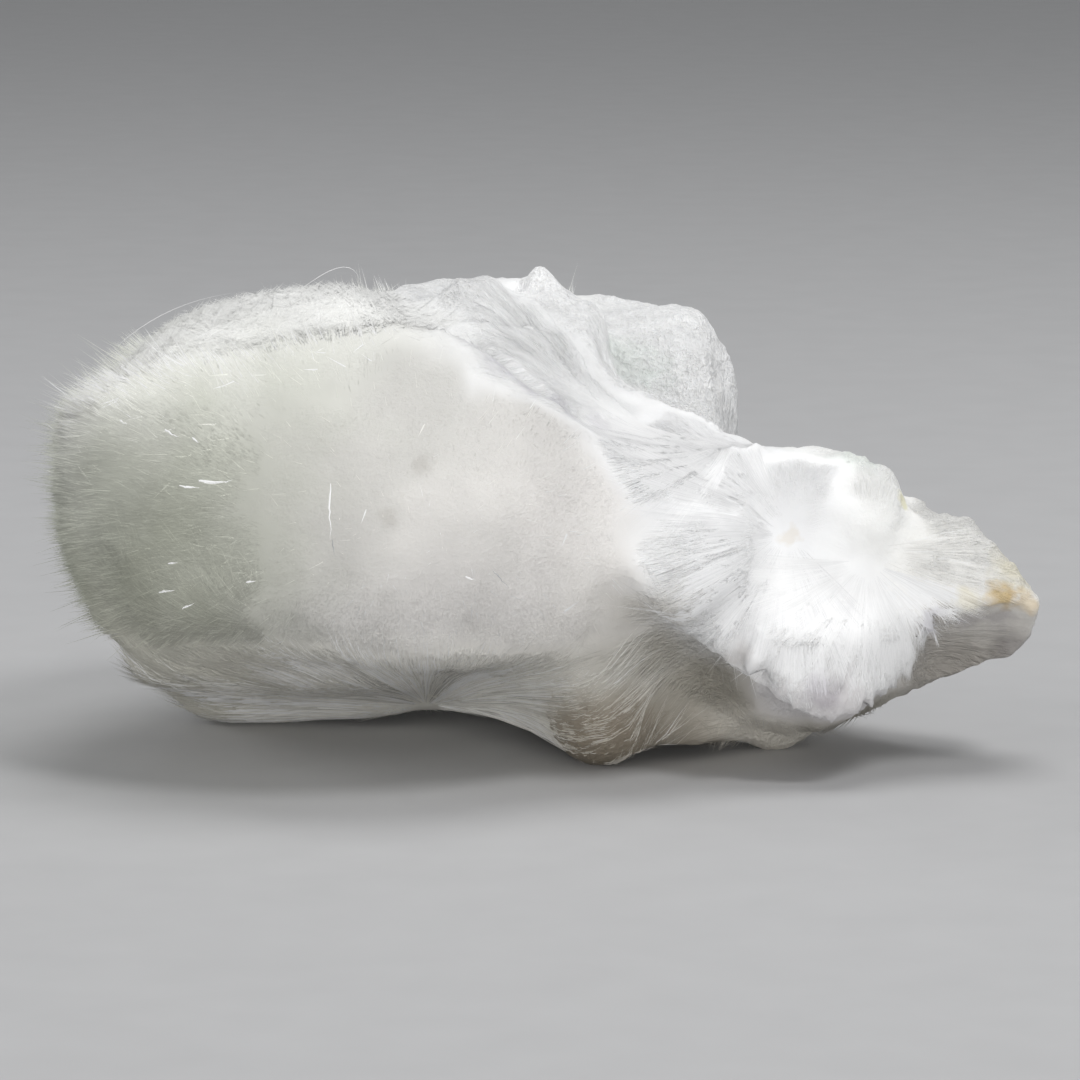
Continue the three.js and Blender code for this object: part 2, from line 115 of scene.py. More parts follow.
ZONES = [
    # The puff's colours: a grey-green tint, partly with painted light and shade, lighter on its top and
    # much darker low on its left flank.
    zone("puff", PUFF_CORE, 0.32, (0.58, 0.595, 0.515), 0.04, 0.03,
         (-13.4, -7.5, 13.2), (-12.6, -8, 10), (-17, -4, 12), (-14, -5, 15.9), (-10.6, -4.4, 16.4),
         (-19, 1, 11), (-17, 6, 13)),
    zone("puff_top", PUFF_CORE, 0.32, (0.75, 0.75, 0.7), 0.04, 0.03,
         (-15.2, -3.6, 16.2), (-12.6, -4.2, 16.6), (-10.0, -4.0, 17.0), (-8.0, -3.8, 17.2),
         (-17.6, -1.4, 15.4)),
    zone("shaded_flank", PUFF_CORE, 0.3, (0.4, 0.415, 0.335), 0.04, 0.03,
         (-15.5, -5, 8.6), (-13.4, -6.9, 7.6), (-12.6, -7.8, 9.2), (-14.2, -6.6, 10.4),
         (-18.4, 1, 7.6)),
    # The bulge's colours are partly painted light and shade: greyer and a little greener on the left, and
    # much lighter on the right, where the lobe shades it, and at the low front, which turns downward.
    zone("bulge", BULGE_CORE, 0.24, (0.63, 0.615, 0.59), 0.02, 0.02,
         (-8.0, -9.8, 11.2), (-3.4, -10, 11), (-6, -5.6, 15.8), (-1, -5.5, 14), (-7.6, -7.8, 13.8)),
    zone("lit_bulge_right", BULGE_CORE, 0.24, (0.86, 0.835, 0.81), 0.02, 0.02,
         (-3.4, -9.6, 9.0), (1, -7, 10), (-0.4, -8.4, 8.8), (1.6, -6.2, 12), (-2.4, -9, 7.8)),
    zone("bulge_left", BULGE_CORE, 0.28, (0.57, 0.57, 0.52), 0.02, 0.02,
         (-10.4, -8.8, 12.4), (-10.4, -8.8, 10), (-9.6, -7, 14.6), (-10.4, -8, 8)),
    zone("lit_bulge_low", BULGE_CORE, 0.24, (0.95, 0.925, 0.9), 0.03, 0.02,
         (-8, -8.8, 7.2), (-1, -8.2, 7.2), (-5, -8.8, 7.0), (1.2, -6.8, 7.0), (2.4, -6.4, 8.6),
         (2.2, -6.0, 7.2)),
    zone("mat", MAT_CORE, 0.24, (0.88, 0.88, 0.86), 0.12, 0.2,
         (-13.5, -0.8, 17.7), (-16.3, 0.9, 17.2), (-12.5, 3.5, 18.5), (-9.5, 1.0, 18.2),
         (-11.6, -1.6, 17.6), (-9.4, -1.4, 17.9), (-7.2, -1.0, 18.1), (-5.6, -0.6, 18.2),
         (-10.3, 3.6, 18.9), (-14, 6, 18), (-9, 7, 18.5), (-6.3, 3, 18.6)),
    zone("slab", SLAB_KNOT, 0.08, (0.87, 0.87, 0.87), 0.2, 0.08,
         (-3.6, -0.8, 17.7), (-2.9, 5.2, 18.9), (-1, 3, 17.8), (-4, 9, 18.3)),
    zone("sheet", SLAB_KNOT, 0.08, (0.95, 0.95, 0.95), 0.12, 0.05,
         (-1.2, -2.0, 16.3), (0.6, -0.6, 15.6), (1.4, 0.2, 15.2), (2.2, 1.4, 14.6)),
    zone("back", BACK_CORE, 0.08, (0.95, 0.95, 0.95), 0.16, 0.07,
         (-0.2, 7.6, 18.6), (1, 7, 16.6), (3.6, 8.9, 15.2), (6.4, 11.3, 15.7), (3, 5.5, 14.4),
         (8, 12, 12), (7, 6, 12.5), (4, 16, 12), (8.5, 10, 8)),
    zone("shoulder", SHOULDER_KNOT, 0.1, (0.92, 0.92, 0.925), 0.2, 0.06,
         (5.3, 0.6, 13.2), (3.6, -1.2, 13.2), (6.6, 0.3, 12.7), (3.3, -3.6, 12.2), (5.4, -2.2, 11.7)),
    zone("lobe", LOBE_KNOT, 0.15, (0.93, 0.93, 0.935), 0.2, 0.05,
         (9.6, -2, 9.7), (5.5, -4.6, 9.5), (4.0, -6.0, 8.9), (7.5, -3.6, 8), (7.7, -1.4, 11.4),
         (10.5, -0.9, 11.6), (6.2, -4.6, 6.6)),
    zone("tuft", TUFT_KNOT, 0.15, (0.94, 0.94, 0.94), 0.16, 0.1,
         (12.4, -3, 7.8), (11.3, -4, 6), (13.3, -4, 4.6), (9.8, -4.6, 5.0), (14.1, -3.4, 5.4)),
    # The tuft's lower part, which faces down, is given a darker colour as painted shade.
    zone("shaded_tuft_low", TUFT_KNOT, 0.15, (0.66, 0.64, 0.645), 0.3, 0.1,
         (11.3, -5.0, 3.2), (13.2, -4, 2.8), (9.4, -4.6, 3.2)),
    zone("facet", TUFT_KNOT, 0.06, (0.95, 0.95, 0.93), 0.1, 0.06,
         (13.2, -0.6, 11.5), (11.9, 1.2, 12.5), (13.6, -1.6, 9.9), (12, 4, 11.5)),
    zone("tip", TIP_CORE, 0.05, (0.93, 0.92, 0.89), 0.12, 0.08,
         (15.4, -1.8, 8.6), (17.3, -1.2, 8.6), (18.8, -1.8, 7.4), (16.1, -0.2, 10), (16, 3, 8.5),
         (18.4, 1.5, 7.5)),
    # The pointed end's underside is given a dark warm grey colour as painted shade.
    zone("shaded_tip_under", TIP_UNDER_CORE, 0.06, (0.5, 0.47, 0.43), 0.16, 0.05,
         (16.2, -2.8, 5.5), (18.3, -2.2, 5.6), (15.8, -2.2, 4.2), (17, 1, 4.4)),
    # The hollow under the lobe is given a dark khaki colour as painted shade.
    zone("shaded_under", LOBE_KNOT, 0.2, (0.4, 0.375, 0.32), 0.12, 0.06,
         (3.4, -6.0, 7.2), (4.4, -3.4, 5.6), (2.2, -3.8, 5.3), (6.5, -2.6, 3.6), (12, -1.5, 1.8)),
    zone("foot", LOBE_KNOT, 0.12, (0.86, 0.82, 0.74), 0.12, 0.06,
         (9.2, 1.8, 0.4), (9.6, 0, 1.4), (8.6, -1, 1.8)),
    zone("fan", FAN_KNOT, 0.2, (0.95, 0.93, 0.86), 0.1, 0.05,
         (-5.2, 5.4, 1.1), (-8, 1.6, 2.5), (-2, 1.2, 2.6), (-6, -3, 4.2), (-1, -3, 4), (-9, -4.4, 4.8),
         (-4, -5.6, 5.2), (0.5, -4.6, 4.8)),
    zone("fan_left", FAN_KNOT, 0.2, (0.72, 0.7, 0.62), 0.1, 0.08,
         (-11, 1.6, 2.4), (-13, 1, 2), (-12, -3.4, 4.6), (-15, 3, 2), (-16, 1, 3.4), (-14, 5, 1)),
    # The skirt near the floor is given a dark tan colour as painted shade.
    zone("skirt", FAN_KNOT, 0.12, (0.4, 0.36, 0.3), 0.18, 0.16,
         (2, -2.7, 1.3), (4.5, 0.5, 1.2), (1, 2, 1.0)),
    zone("rear", REAR_CORE, 0.35, (0.68, 0.685, 0.63), 0.06, 0.06,
         (-8, 17, 9), (-15, 12, 10), (-10, 13, 16), (-2, 16.5, 7), (-12, 14, 4), (-4, 14, 14)),
]
NAMES = [area["name"] for area in ZONES]
BULGE = ("bulge_left", "bulge", "lit_bulge_right", "lit_bulge_low")
FURRY = ("mat", "puff", "puff_top", "shaded_flank", *BULGE, "rear", "fan", "fan_left", "shaded_under")

# How far zones fade into each other: in relief, grain and needles, in the colour of the furry ones, and
# where the furry parts' smooth form meets the crisp form of the rest.
ZONE_BLUR = 0.55
FUR_BLUR = 1.5
SHAPE_BLUR = 1.1

# How far the zones' borders wander, and the share of a point's main nucleus at which it isn't settled
# which way its fibres run, and at which it is.
ZONE_WANDER = 0.5
UNSETTLED = 0.7
SETTLED = 0.95

# How strongly the streaks along the fibres show in a zone, how much of its hollows is filled, how grainy
# it is, and how much of its fine relief is left out of the way its surface catches the light. Zones
# that aren't named take the value of OTHERS.
OTHERS = "others"
STREAKY = {"slab": 1.5, "sheet": 1.0, "back": 1.4, "shoulder": 1.5, "tip": 1.2, "shaded_tip_under": 1.6,
           "facet": 0.5, "lobe": 1.1, "tuft": 0.7, "fan": 1.6, "fan_left": 1.5, "shaded_under": 1.2,
           "skirt": 0.5, "foot": 0.6, OTHERS: 0.15}
FILLED = {"slab": 0.1, "sheet": 0.3, "back": 0.2, "tuft": 0.5, "tip": 0.3, "shaded_tip_under": 0.3, OTHERS: 0.7}
GRITTY = {"slab": 0.6, "sheet": 0.3, "back": 0.5, "facet": 0.35, "tip": 0.5, "mat": 0.5, "foot": 0.6,
          "skirt": 0.7, "shaded_tip_under": 0.4, "shoulder": 0.2, OTHERS: 0.0}
SOFTENED = {"slab": 0.0, "sheet": 0.2, "back": 0.0, "shoulder": 0.3, "tip": 0.0, "shaded_tip_under": 0.1,
            "facet": 0.2, "lobe": 0.65, "tuft": 0.5, "mat": 0.2, OTHERS: 0.8}

# Pushes, as of a grab brush: middle, radius and move, in millimetres.
GRABS = [
    ((5.6, 12.6, 16.3), 1.9, (0.3, 0, 0.75)),
    ((-0.4, 8.3, 18.7), 0.65, (0, 0, 0.6)),
    ((-1.1, 7.2, 18.5), 0.6, (0, 0, -0.5)),
    ((-1.25, 8.2, 18.7), 0.5, (0, 0, -0.75)),
    ((-1.3, 6.0, 18.6), 0.8, (0, 0, -0.5)),
    ((1.2, 9.0, 18.3), 1.0, (0, 0, -0.45)),
    ((2.4, 12.5, 17.2), 1.3, (0, 0, -0.2)),
    ((-4.8, 8, 18.3), 1.4, (0, 0, -0.25)),
    ((-2.7, 5.7, 19.0), 1.2, (0, 0, 0.1)),
    ((13.6, -0.1, 11.4), 1.0, (0.2, 0, 0.6)),
    ((15.0, 0.2, 10.7), 0.5, (0, 0, -0.4)),
    ((16.0, 0.5, 10.2), 0.7, (0, 0, -0.35)),
    ((16.4, -2.4, 4.3), 2.2, (0, 2.6, -0.3)),
    ((18.7, -2.2, 5.0), 1.6, (0, 1.6, -0.2)),
    ((-16.5, 0.5, 17.0), 1.4, (0, 0, -0.4)),
    ((-14.0, 2.0, 18.1), 1.2, (0, 0, -0.35)),
    ((-5.0, -4.5, 5.3), 3.6, (0, -2.1, 0)),
    ((-10.0, -4.0, 5.3), 3.4, (0, -1.2, 0)),
    ((0.4, -4.3, 5.6), 3.2, (0, -1.5, 0)),
    ((-14.5, 2.0, 2.6), 3.0, (-0.2, -2.4, 0.3)),
    ((-9.0, 1.0, 2.8), 2.6, (0, -1.0, 0)),
    ((-16.8, 2.0, 5.0), 3.0, (-0.9, 0, -0.1)),
    ((-15.6, 2.5, 2.2), 2.2, (-1.6, -0.3, 0)),
    ((-18.4, 0.5, 8.4), 2.6, (-0.9, 0, 0)),
    ((-9.8, -2.8, 17.3), 2.2, (0, -0.2, 0.45)),
    ((-6.2, -3.0, 17.3), 2.2, (0, -0.2, 0.75)),
    ((-3.4, -3.2, 16.9), 1.8, (0, -0.2, 0.4)),
    ((7.5, -0.3, 12.8), 0.45, (0, -0.25, 0.35)),
    ((8.4, 0.2, 12.9), 0.4, (0, -0.15, 0.4)),
    ((7.9, -1.0, 12.2), 0.4, (0, -0.35, 0.1)),
    ((6.9, -0.9, 12.6), 0.35, (0, -0.25, 0.2)),
    ((2.9, -6.4, 7.9), 1.2, (0, 0.5, 0.4)),
    ((8.2, -5.3, 4.1), 0.6, (0.1, 0.5, 0.6)),
    ((11.7, -5.2, 2.2), 0.6, (0, 0.2, 0.5)),
    ((16.0, 2.0, 10.2), 1.4, (0, 0, -0.35)),
    ((18.6, 0.8, 8.2), 1.3, (0, 0, -0.5)),
    ((15.1, 1.8, 10.5), 0.45, (0, 0, 0.25)),
    ((16.3, 1.9, 10.0), 0.35, (0, 0, 0.35)),
    ((17.2, 1.0, 9.6), 0.45, (0, 0, 0.25)),
]

# Broken faces, as of a flatten brush: middle, the way the face looks, radius and share.
FLATS = [
    ((16.8, -1.8, 8.2), (0.22, -0.80, 0.56), 2.7, 0.95),
    ((17.1, -0.8, 5.3), (0.11, -0.68, -0.72), 2.4, 0.9),
    ((10.7, -1.6, 11.45), (0.06, -0.58, 0.81), 1.5, 0.65),
    ((12.95, -1.85, 10.65), (0.2, -0.62, 0.76), 1.3, 0.65),
    ((12.9, -0.4, 12.1), (0.16, -0.38, 0.91), 1.0, 0.9),
    ((-2.3, -0.6, 16.9), (0.34, -0.13, 0.93), 2.0, 0.4),
    ((1.9, 1.0, 14.7), (0.55, -0.17, 0.82), 1.8, 0.4),
    ((-2.8, 3.2, 17.9), (0.12, -0.17, 0.98), 1.3, 0.5),
    ((5.2, 9.5, 15.1), (-0.11, -0.72, 0.68), 1.5, 0.5),
    ((4.5, 11.5, 16.6), (-0.14, -0.32, 0.94), 1.2, 0.8),
]


def edge(up, proud, sunk, reach, *line):
    """A line where one part of the growth stands proud of the next, fading away from the line.

    The side that up points to stands out, and the other side is sunk.
    """
    return {"up": up, "proud": proud, "sunk": sunk, "reach": reach, "line": line}


EDGES = [
    edge((0.2, 0.3, 1), 0.12, 0.12, 0.8,
         (-6.1, 0.3, 17.9), (-3.6, -3, 17.3), (-1.2, -3.2, 15.9), (0.4, -2.9, 15.1), (2, 0, 14.2),
         (3.7, 1.3, 13.8)),
    edge((0.3, 0.9, 0.2), 0.3, 0.22, 0.8,
         (-3.4, 1.5, 17.6), (-1.8, -0.6, 16.6), (0.0, -1.9, 15.4), (1.4, -0.9, 14.6), (2.6, 0.5, 14.0)),
    edge((-0.6, -0.8, 0.1), 0.35, 0.35, 0.7,
         (-1.0, 3.6, 17.4), (0.4, 2.4, 16.3), (1.4, 1.6, 15.2), (2.2, 0.9, 14.4)),
    edge((0, -1, -0.3), 0.15, 0.35, 0.8,
         (-6.1, 1.0, 18.0), (-4.1, 1.7, 17.8), (-2.0, 2.7, 17.5), (0.4, 4.3, 17.2)),
    edge((-1, -0.4, 0.1), 0.2, 0.45, 0.8,
         (-1.0, 6.6, 18.4), (0.4, 4.5, 17.2), (1.4, 3.6, 16.0), (2.5, 2.4, 14.8), (3.7, 1.6, 13.8)),
    edge((0, -0.4, 1), -0.1, 0.25, 0.25,
         (3.7, 1.3, 13.8), (5.3, 1.9, 13.4), (7.0, 2.6, 13.1), (7.8, 2.4, 12.9)),
    edge((-1, -0.2, 0), 0.25, 0.2, 0.7,
         (6.4, 9, 16), (7.0, 9, 14.5), (7.2, 8.6, 12.8)),
    edge((0, 0, 1), 0.2, 0.5, 0.8,
         (14.2, -3.6, 6.4), (15.7, -3.2, 6.7), (17.3, -2.9, 6.8), (18.6, -2.6, 6.9), (19.5, -2.2, 6.8)),
    edge((-1, 0, 0), 0.3, 0.2, 0.7,
         (14.0, -3.4, 7.2), (14.3, -3.6, 6.2), (14.9, -3, 4.2), (14.9, -2, 3.4)),
    edge((0.5, -0.2, 1), 0.25, 0.4, 1.0,
         (3.0, -6.6, 9.0), (3.6, -6.4, 7.6), (6.0, -4.4, 5.6), (7.6, -4.7, 4.4), (9.6, -4.8, 3.2),
         (11.2, -5.6, 2.5)),
    edge((0, -0.3, 1), 0.2, 0.15, 0.5,
         (11.9, 1.2, 12.6), (13.2, 0.4, 12.0), (14.4, -0.2, 11.3)),
    edge((-1, -0.2, 0), 0.2, 0.15, 0.6,
         (14.2, -0.3, 11.0), (14.0, -1.0, 9.8), (13.6, -2.0, 8.8)),
]

# How sharp the edges are, how far from a line's ends they fade, and how far the line wanders.
EDGE_BLUR = 0.14
EDGE_END = 1.0
EDGE_WANDER = 0.12

# Shallow hollows: middle, radius and depth.
DIMPLES = [
    ((3.6, 8.9, 15.4), 1.5, 0.3),
    ((11.0, -5.2, 4.1), 0.6, 0.6),
    ((-0.6, -2.2, 16.4), 0.9, 0.2),
]


# Small guards, against a division by zero and against two directions that are the same.
NOT_ZERO = 1e-9
TINY = 1e-6


def metres(x, y, z):
    return Vector((x + ORIGIN[0], y + ORIGIN[1], z + ORIGIN[2])) * MM


def layout(points):
    """Points in metres as an array of millimetres in the layout of the growth."""
    return points / MM - ORIGIN


def unit(vectors):
    return vectors / np.maximum(np.linalg.norm(vectors, axis=-1, keepdims=True), NOT_ZERO)


def ramp(values, start, full, least=0.0):
    """From least at start to 1 at full, and held there beyond them."""
    return np.clip((values - start) / (full - start), least, 1)


def noise_at(points, scale, shift=0.0):
    """Smooth noise from about -1 to 1 at each point. Another shift gives another pattern."""
    moved = points * scale + shift
    return np.array([noise.noise(Vector(p)) for p in moved])


def wander(points, scale, shift):
    """A smooth field of vectors, which makes neighbouring fibres lean together in tufts."""
    return np.stack([noise_at(points, scale, shift + 11.0 * axis) for axis in range(3)], axis=1)


def shares_at(points, blur=ZONE_BLUR):
    """How much each point belongs to each zone: one row for each point, one column for each zone."""
    moved = points + ZONE_WANDER * wander(points, 0.8, 60.0)
    away = []
    for area in ZONES:
        seeds = np.array(area["seeds"], float)
        away.append(np.min([np.linalg.norm(moved - seed, axis=1) for seed in seeds], axis=0))
    away = np.array(away).T
    shares = np.exp(-(away - away.min(axis=1, keepdims=True)) / blur)
    return shares / shares.sum(axis=1, keepdims=True)


def zone_values(name):
    return np.array([area[name] for area in ZONES], float)


def zone_strengths(named):
    return np.array([named.get(name, named[OTHERS]) for name in NAMES])


def zone_share(shares, *names):
    return sum(shares[:, NAMES.index(name)] for name in names)


def tints_at(points, shares):
    """The colour at each point: the furry zones pass slowly into one another, the broken ones at once."""
    furry = np.array([name in FURRY for name in NAMES])
    blurred = shares_at(points, FUR_BLUR) * furry
    blurred /= np.maximum(blurred.sum(axis=1, keepdims=True), NOT_ZERO)
    colors = zone_values("color")
    return (shares * ~furry) @ colors + zone_share(shares, *FURRY)[:, None] * (blurred @ colors)


def fibre_directions(points, shares):
    """The way the fibres run at each point: away from the nuclei of its zones."""
    along = np.zeros_like(points)
    for column, area in enumerate(ZONES):
        along += shares[:, column:column + 1] * unit(points - np.array(area["nucleus"], float))
    return unit(along)


def main_rays(points, shares):
    """The way from the main nucleus of each point, the distance to it, and how settled its rule is.

    What follows the way is weighed by how settled it is, so that it doesn't jump at a border.
    """
    nuclei = zone_values("nucleus")
    same = (nuclei[:, None, :] == nuclei[None, :, :]).all(axis=2)
    ruled = shares @ same
    main = ruled.argmax(axis=1)
    away = points - nuclei[main]
    settled = ramp(ruled.max(axis=1), UNSETTLED, SETTLED)
    return unit(away), np.linalg.norm(away, axis=1), settled


# ---------------------------------------------------------------- mesh helpers


def only(thing):
    """Makes one object the selected and active one."""
    bpy.ops.object.select_all(action="DESELECT")
    thing.select_set(True)
    bpy.context.view_layer.objects.active = thing


def apply(thing, kind, **settings):
    only(thing)
    modifier = thing.modifiers.new(kind.title(), kind)
    for name, value in settings.items():
        setattr(modifier, name, value)
    bpy.ops.object.modifier_apply(modifier=modifier.name)


def positions(mesh):
    places = np.empty(len(mesh.vertices) * 3)
    mesh.vertices.foreach_get("co", places)
    return places.reshape(-1, 3)


def vertex_normals(mesh):
    normals = np.empty(len(mesh.vertices) * 3)
    mesh.vertices.foreach_get("normal", normals)
    return normals.reshape(-1, 3)


def put_attribute(mesh, name, values):
    kind = "FLOAT" if values.ndim == 1 else "FLOAT_VECTOR"
    field = "value" if values.ndim == 1 else "vector"
    attribute = mesh.attributes.new(name, kind, "POINT")
    attribute.data.foreach_set(field, np.ascontiguousarray(values, dtype=np.float32).ravel())


# ---------------------------------------------------------------- the body

VOXEL = 0.0002
SMOOTHING = 0.5
NEAR_ROUNDS = 5
SOFT_ROUNDS = 40
SOFTEST_ROUNDS = 160
CRISPNESS = 0.9

# Below these heights the pushes and the relief fade out towards the floor.
HELD_HEIGHT = 1.5
GROUND_HEIGHT = 1.2

# The ridges along the fibres: how close they are, the share each kind has in the height, and the distances
# from the nucleus over which the ridges and the painted streaks grow from nothing.
BROAD_RIDGES = 6.0
NARROW_RIDGES = 15.0
BROAD_SHARE = 0.9
NARROW_SHARE = 0.6
RIDGES_START = 0.4
RIDGES_GROWN = 3.4
STREAKS_GROWN = 4.0

# How sharply the ridges fall off, the sizes of the small lumps, and the depth at which a hollow gets its
# full painted shade.
RIDGE_TOP = 0.5
RIDGE_SLOPE = 1.6
LARGE_LUMPS = 1.5
SMALL_LUMPS = 3.6
FULL_SHADE_DEPTH = 0.35

# How alike a surface and a broken face look, as a cosine, where the surface is pressed in full.
FULLY_ALIKE = 0.5

# A place on the bulge, which is on the body's main shell.
ON_BULGE = (-5, -10, 9)


def grow_body():
    """A fine copy of the solid, with crisper edges, sunk below its surface by the length of the fur."""
    solid = frame["nodes"]["okenite_cluster"]
    body = bpy.data.objects.new("okenite_body", solid.data.copy())
    bpy.context.scene.collection.objects.link(body)
    only(body)
    bpy.ops.object.mode_set(mode="EDIT")
    bpy.ops.mesh.select_all(action="SELECT")
    bpy.ops.mesh.remove_doubles(threshold=TINY)
    bpy.ops.object.mode_set(mode="OBJECT")
    apply(body, "REMESH", mode="VOXEL", voxel_size=VOXEL)
    keep_main_shell(body)
    apply(body, "SMOOTH", factor=SMOOTHING, iterations=NEAR_ROUNDS)
    near = positions(body.data)
    apply(body, "SMOOTH", factor=SMOOTHING, iterations=SOFT_ROUNDS)
    soft = positions(body.data)
    apply(body, "SMOOTH", factor=SMOOTHING, iterations=SOFTEST_ROUNDS)
    softest = positions(body.data)
    outward = vertex_normals(body.data)
    shares = shares_at(layout(soft), SHAPE_BLUR)
    furry = zone_share(shares, *FURRY)[:, None]
    filled = (shares @ zone_strengths(FILLED))[:, None]
    crisp = near + CRISPNESS * (near - soft)
    hollow = ((softest - crisp) * outward).sum(axis=1, keepdims=True)
    crisp += filled * np.maximum(hollow, 0) * outward
    put_layout(body.data, grabbed(layout(soft * (1 - furry) + softest * furry)))
    soft_normals = vertex_normals(body.data)
    put_layout(body.data, flattened(grabbed(layout(crisp * (1 - furry) + softest * furry)), soft_normals))
    carve_relief(body.data)
    bpy.ops.object.shade_smooth()
    softened = (shares_at(layout(positions(body.data))) @ zone_strengths(SOFTENED))[:, None]
    shading = unit(soft_normals * softened + vertex_normals(body.data) * (1 - softened))
    body.data.normals_split_custom_set_from_vertices(shading.tolist())
    return body, soft_normals


def put_layout(mesh, places):
    """Moves the mesh's vertices to places given in the layout of the growth."""
    mesh.vertices.foreach_set("co", ((places + ORIGIN) * MM).ravel())
    mesh.update()


def grabbed(points):
    """The points after every push, with what rests on the floor left where it is."""
    held = ramp(points[:, 2], 0, HELD_HEIGHT)
    for middle, radius, move in GRABS:
        away = np.linalg.norm(points - np.array(middle), axis=1)
        points = points + (held * np.exp(-(away / radius) ** 2))[:, None] * np.array(move)
    return points


def flattened(points, normals):
    """The points with the broken faces pressed flat, where the surface looks the way they do."""
    for middle, facing, radius, share in FLATS:
        facing = unit(np.array(facing))
        offset = points - np.array(middle)
        agrees = ramp(normals @ facing, 0, FULLY_ALIKE)
        press = share * agrees * np.exp(-(np.linalg.norm(offset, axis=1) / radius) ** 4)
        points = points - (press * (offset @ facing))[:, None] * facing
    return points


def keep_main_shell(body):
    """Drops the crumbs that remeshing leaves of the thin needles."""
    places = positions(body.data)
    middle = int(np.argmin(np.linalg.norm(layout(places) - np.array(ON_BULGE), axis=1)))
    only(body)
    bpy.ops.object.mode_set(mode="EDIT")
    bpy.ops.mesh.select_mode(type="VERT")
    bpy.ops.mesh.select_all(action="DESELECT")
    bpy.ops.object.mode_set(mode="OBJECT")
    body.data.vertices[middle].select = True
    bpy.ops.object.mode_set(mode="EDIT")
    bpy.ops.mesh.select_linked()
    bpy.ops.mesh.select_all(action="INVERT")
    bpy.ops.mesh.delete(type="VERT")
    bpy.ops.object.mode_set(mode="OBJECT")


def nearest_on_line(points, line):
    """The nearest place on a bent line to each point, how far away it is, and how far from an end."""
    line = np.array(line, float)
    best = np.full(len(points), np.inf)
    nearest = np.zeros_like(points)
    for start, end in zip(line[:-1], line[1:]):
        run = end - start
        share = np.clip((points - start) @ run / (run @ run), 0, 1)
        foot = start + share[:, None] * run
        away = np.linalg.norm(points - foot, axis=1)
        closer = away < best
        best[closer] = away[closer]
        nearest[closer] = foot[closer]
    from_start = np.linalg.norm(nearest - line[0], axis=1)
    from_end = np.linalg.norm(nearest - line[-1], axis=1)
    return nearest, best, np.minimum(from_start, from_end)


def edge_height(points):
    """How far the edges and hollows raise or sink each point."""
    height = np.zeros(len(points))
    ragged = points + EDGE_WANDER * wander(points, 2.0, 31.0)
    for line in EDGES:
        nearest, away, to_end = nearest_on_line(ragged, line["line"])
        up = unit(np.array(line["up"], float))
        side = np.tanh((ragged - nearest) @ up / EDGE_BLUR)
        fade = np.exp(-away / line["reach"]) * ramp(to_end, 0, EDGE_END)
        height += fade * np.where(side > 0, line["proud"] * side, line["sunk"] * side)
    for middle, radius, depth in DIMPLES:
        away = np.linalg.norm(points - np.array(middle), axis=1)
        height -= depth * np.exp(-(away / radius) ** 2)
    return height


def ridges(along, scale, shift):
    """Sharp-crested ridges, from the way the fibres run."""
    return RIDGE_TOP - RIDGE_SLOPE * np.abs(noise_at(along, scale, shift))


def carve_relief(mesh):
    """Sinks the surface, gives it edges, ridges and lumps, and writes down what its material reads, with
    the painted shade of its hollows.
    """
    places = positions(mesh)
    points = layout(places)
    normals = vertex_normals(mesh)
    shares = shares_at(points)
    along, distance, settled = main_rays(points, shares)
    fan = settled * ramp(distance, RIDGES_START, RIDGES_GROWN)
    relief = shares @ zone_values("relief")
    broad = ridges(along, BROAD_RIDGES, 0.0)
    narrow = ridges(along, NARROW_RIDGES, 4.0)
    lumps = noise_at(points, LARGE_LUMPS, 2.0) + 0.5 * noise_at(points, SMALL_LUMPS, 2.0)
    height = relief * fan * (BROAD_SHARE * broad + NARROW_SHARE * narrow) + edge_height(points)
    # Grooves between the ridges, dimples and the sunk sides of edges get painted shade: the deeper they
    # are, the darker their colour.
    cavity_shade = ramp(-height, 0, FULL_SHADE_DEPTH)
    height += shares @ zone_values("crumb") * lumps - shares @ zone_values("depth")
    ground = ramp(points[:, 2], 0, GROUND_HEIGHT)
    places = places + normals * (height * ground * MM)[:, None]
    mesh.vertices.foreach_set("co", places.ravel())
    mesh.update()
    put_attribute(mesh, "fibre", along)
    put_attribute(mesh, "tint", tints_at(points, shares))
    put_attribute(mesh, "cavity_shade", cavity_shade)
    even = settled * ramp(distance, 0, STREAKS_GROWN) ** 2
    put_attribute(mesh, "streaked", even * (shares @ zone_strengths(STREAKY)))
    put_attribute(mesh, "gritty", shares @ zone_strengths(GRITTY))


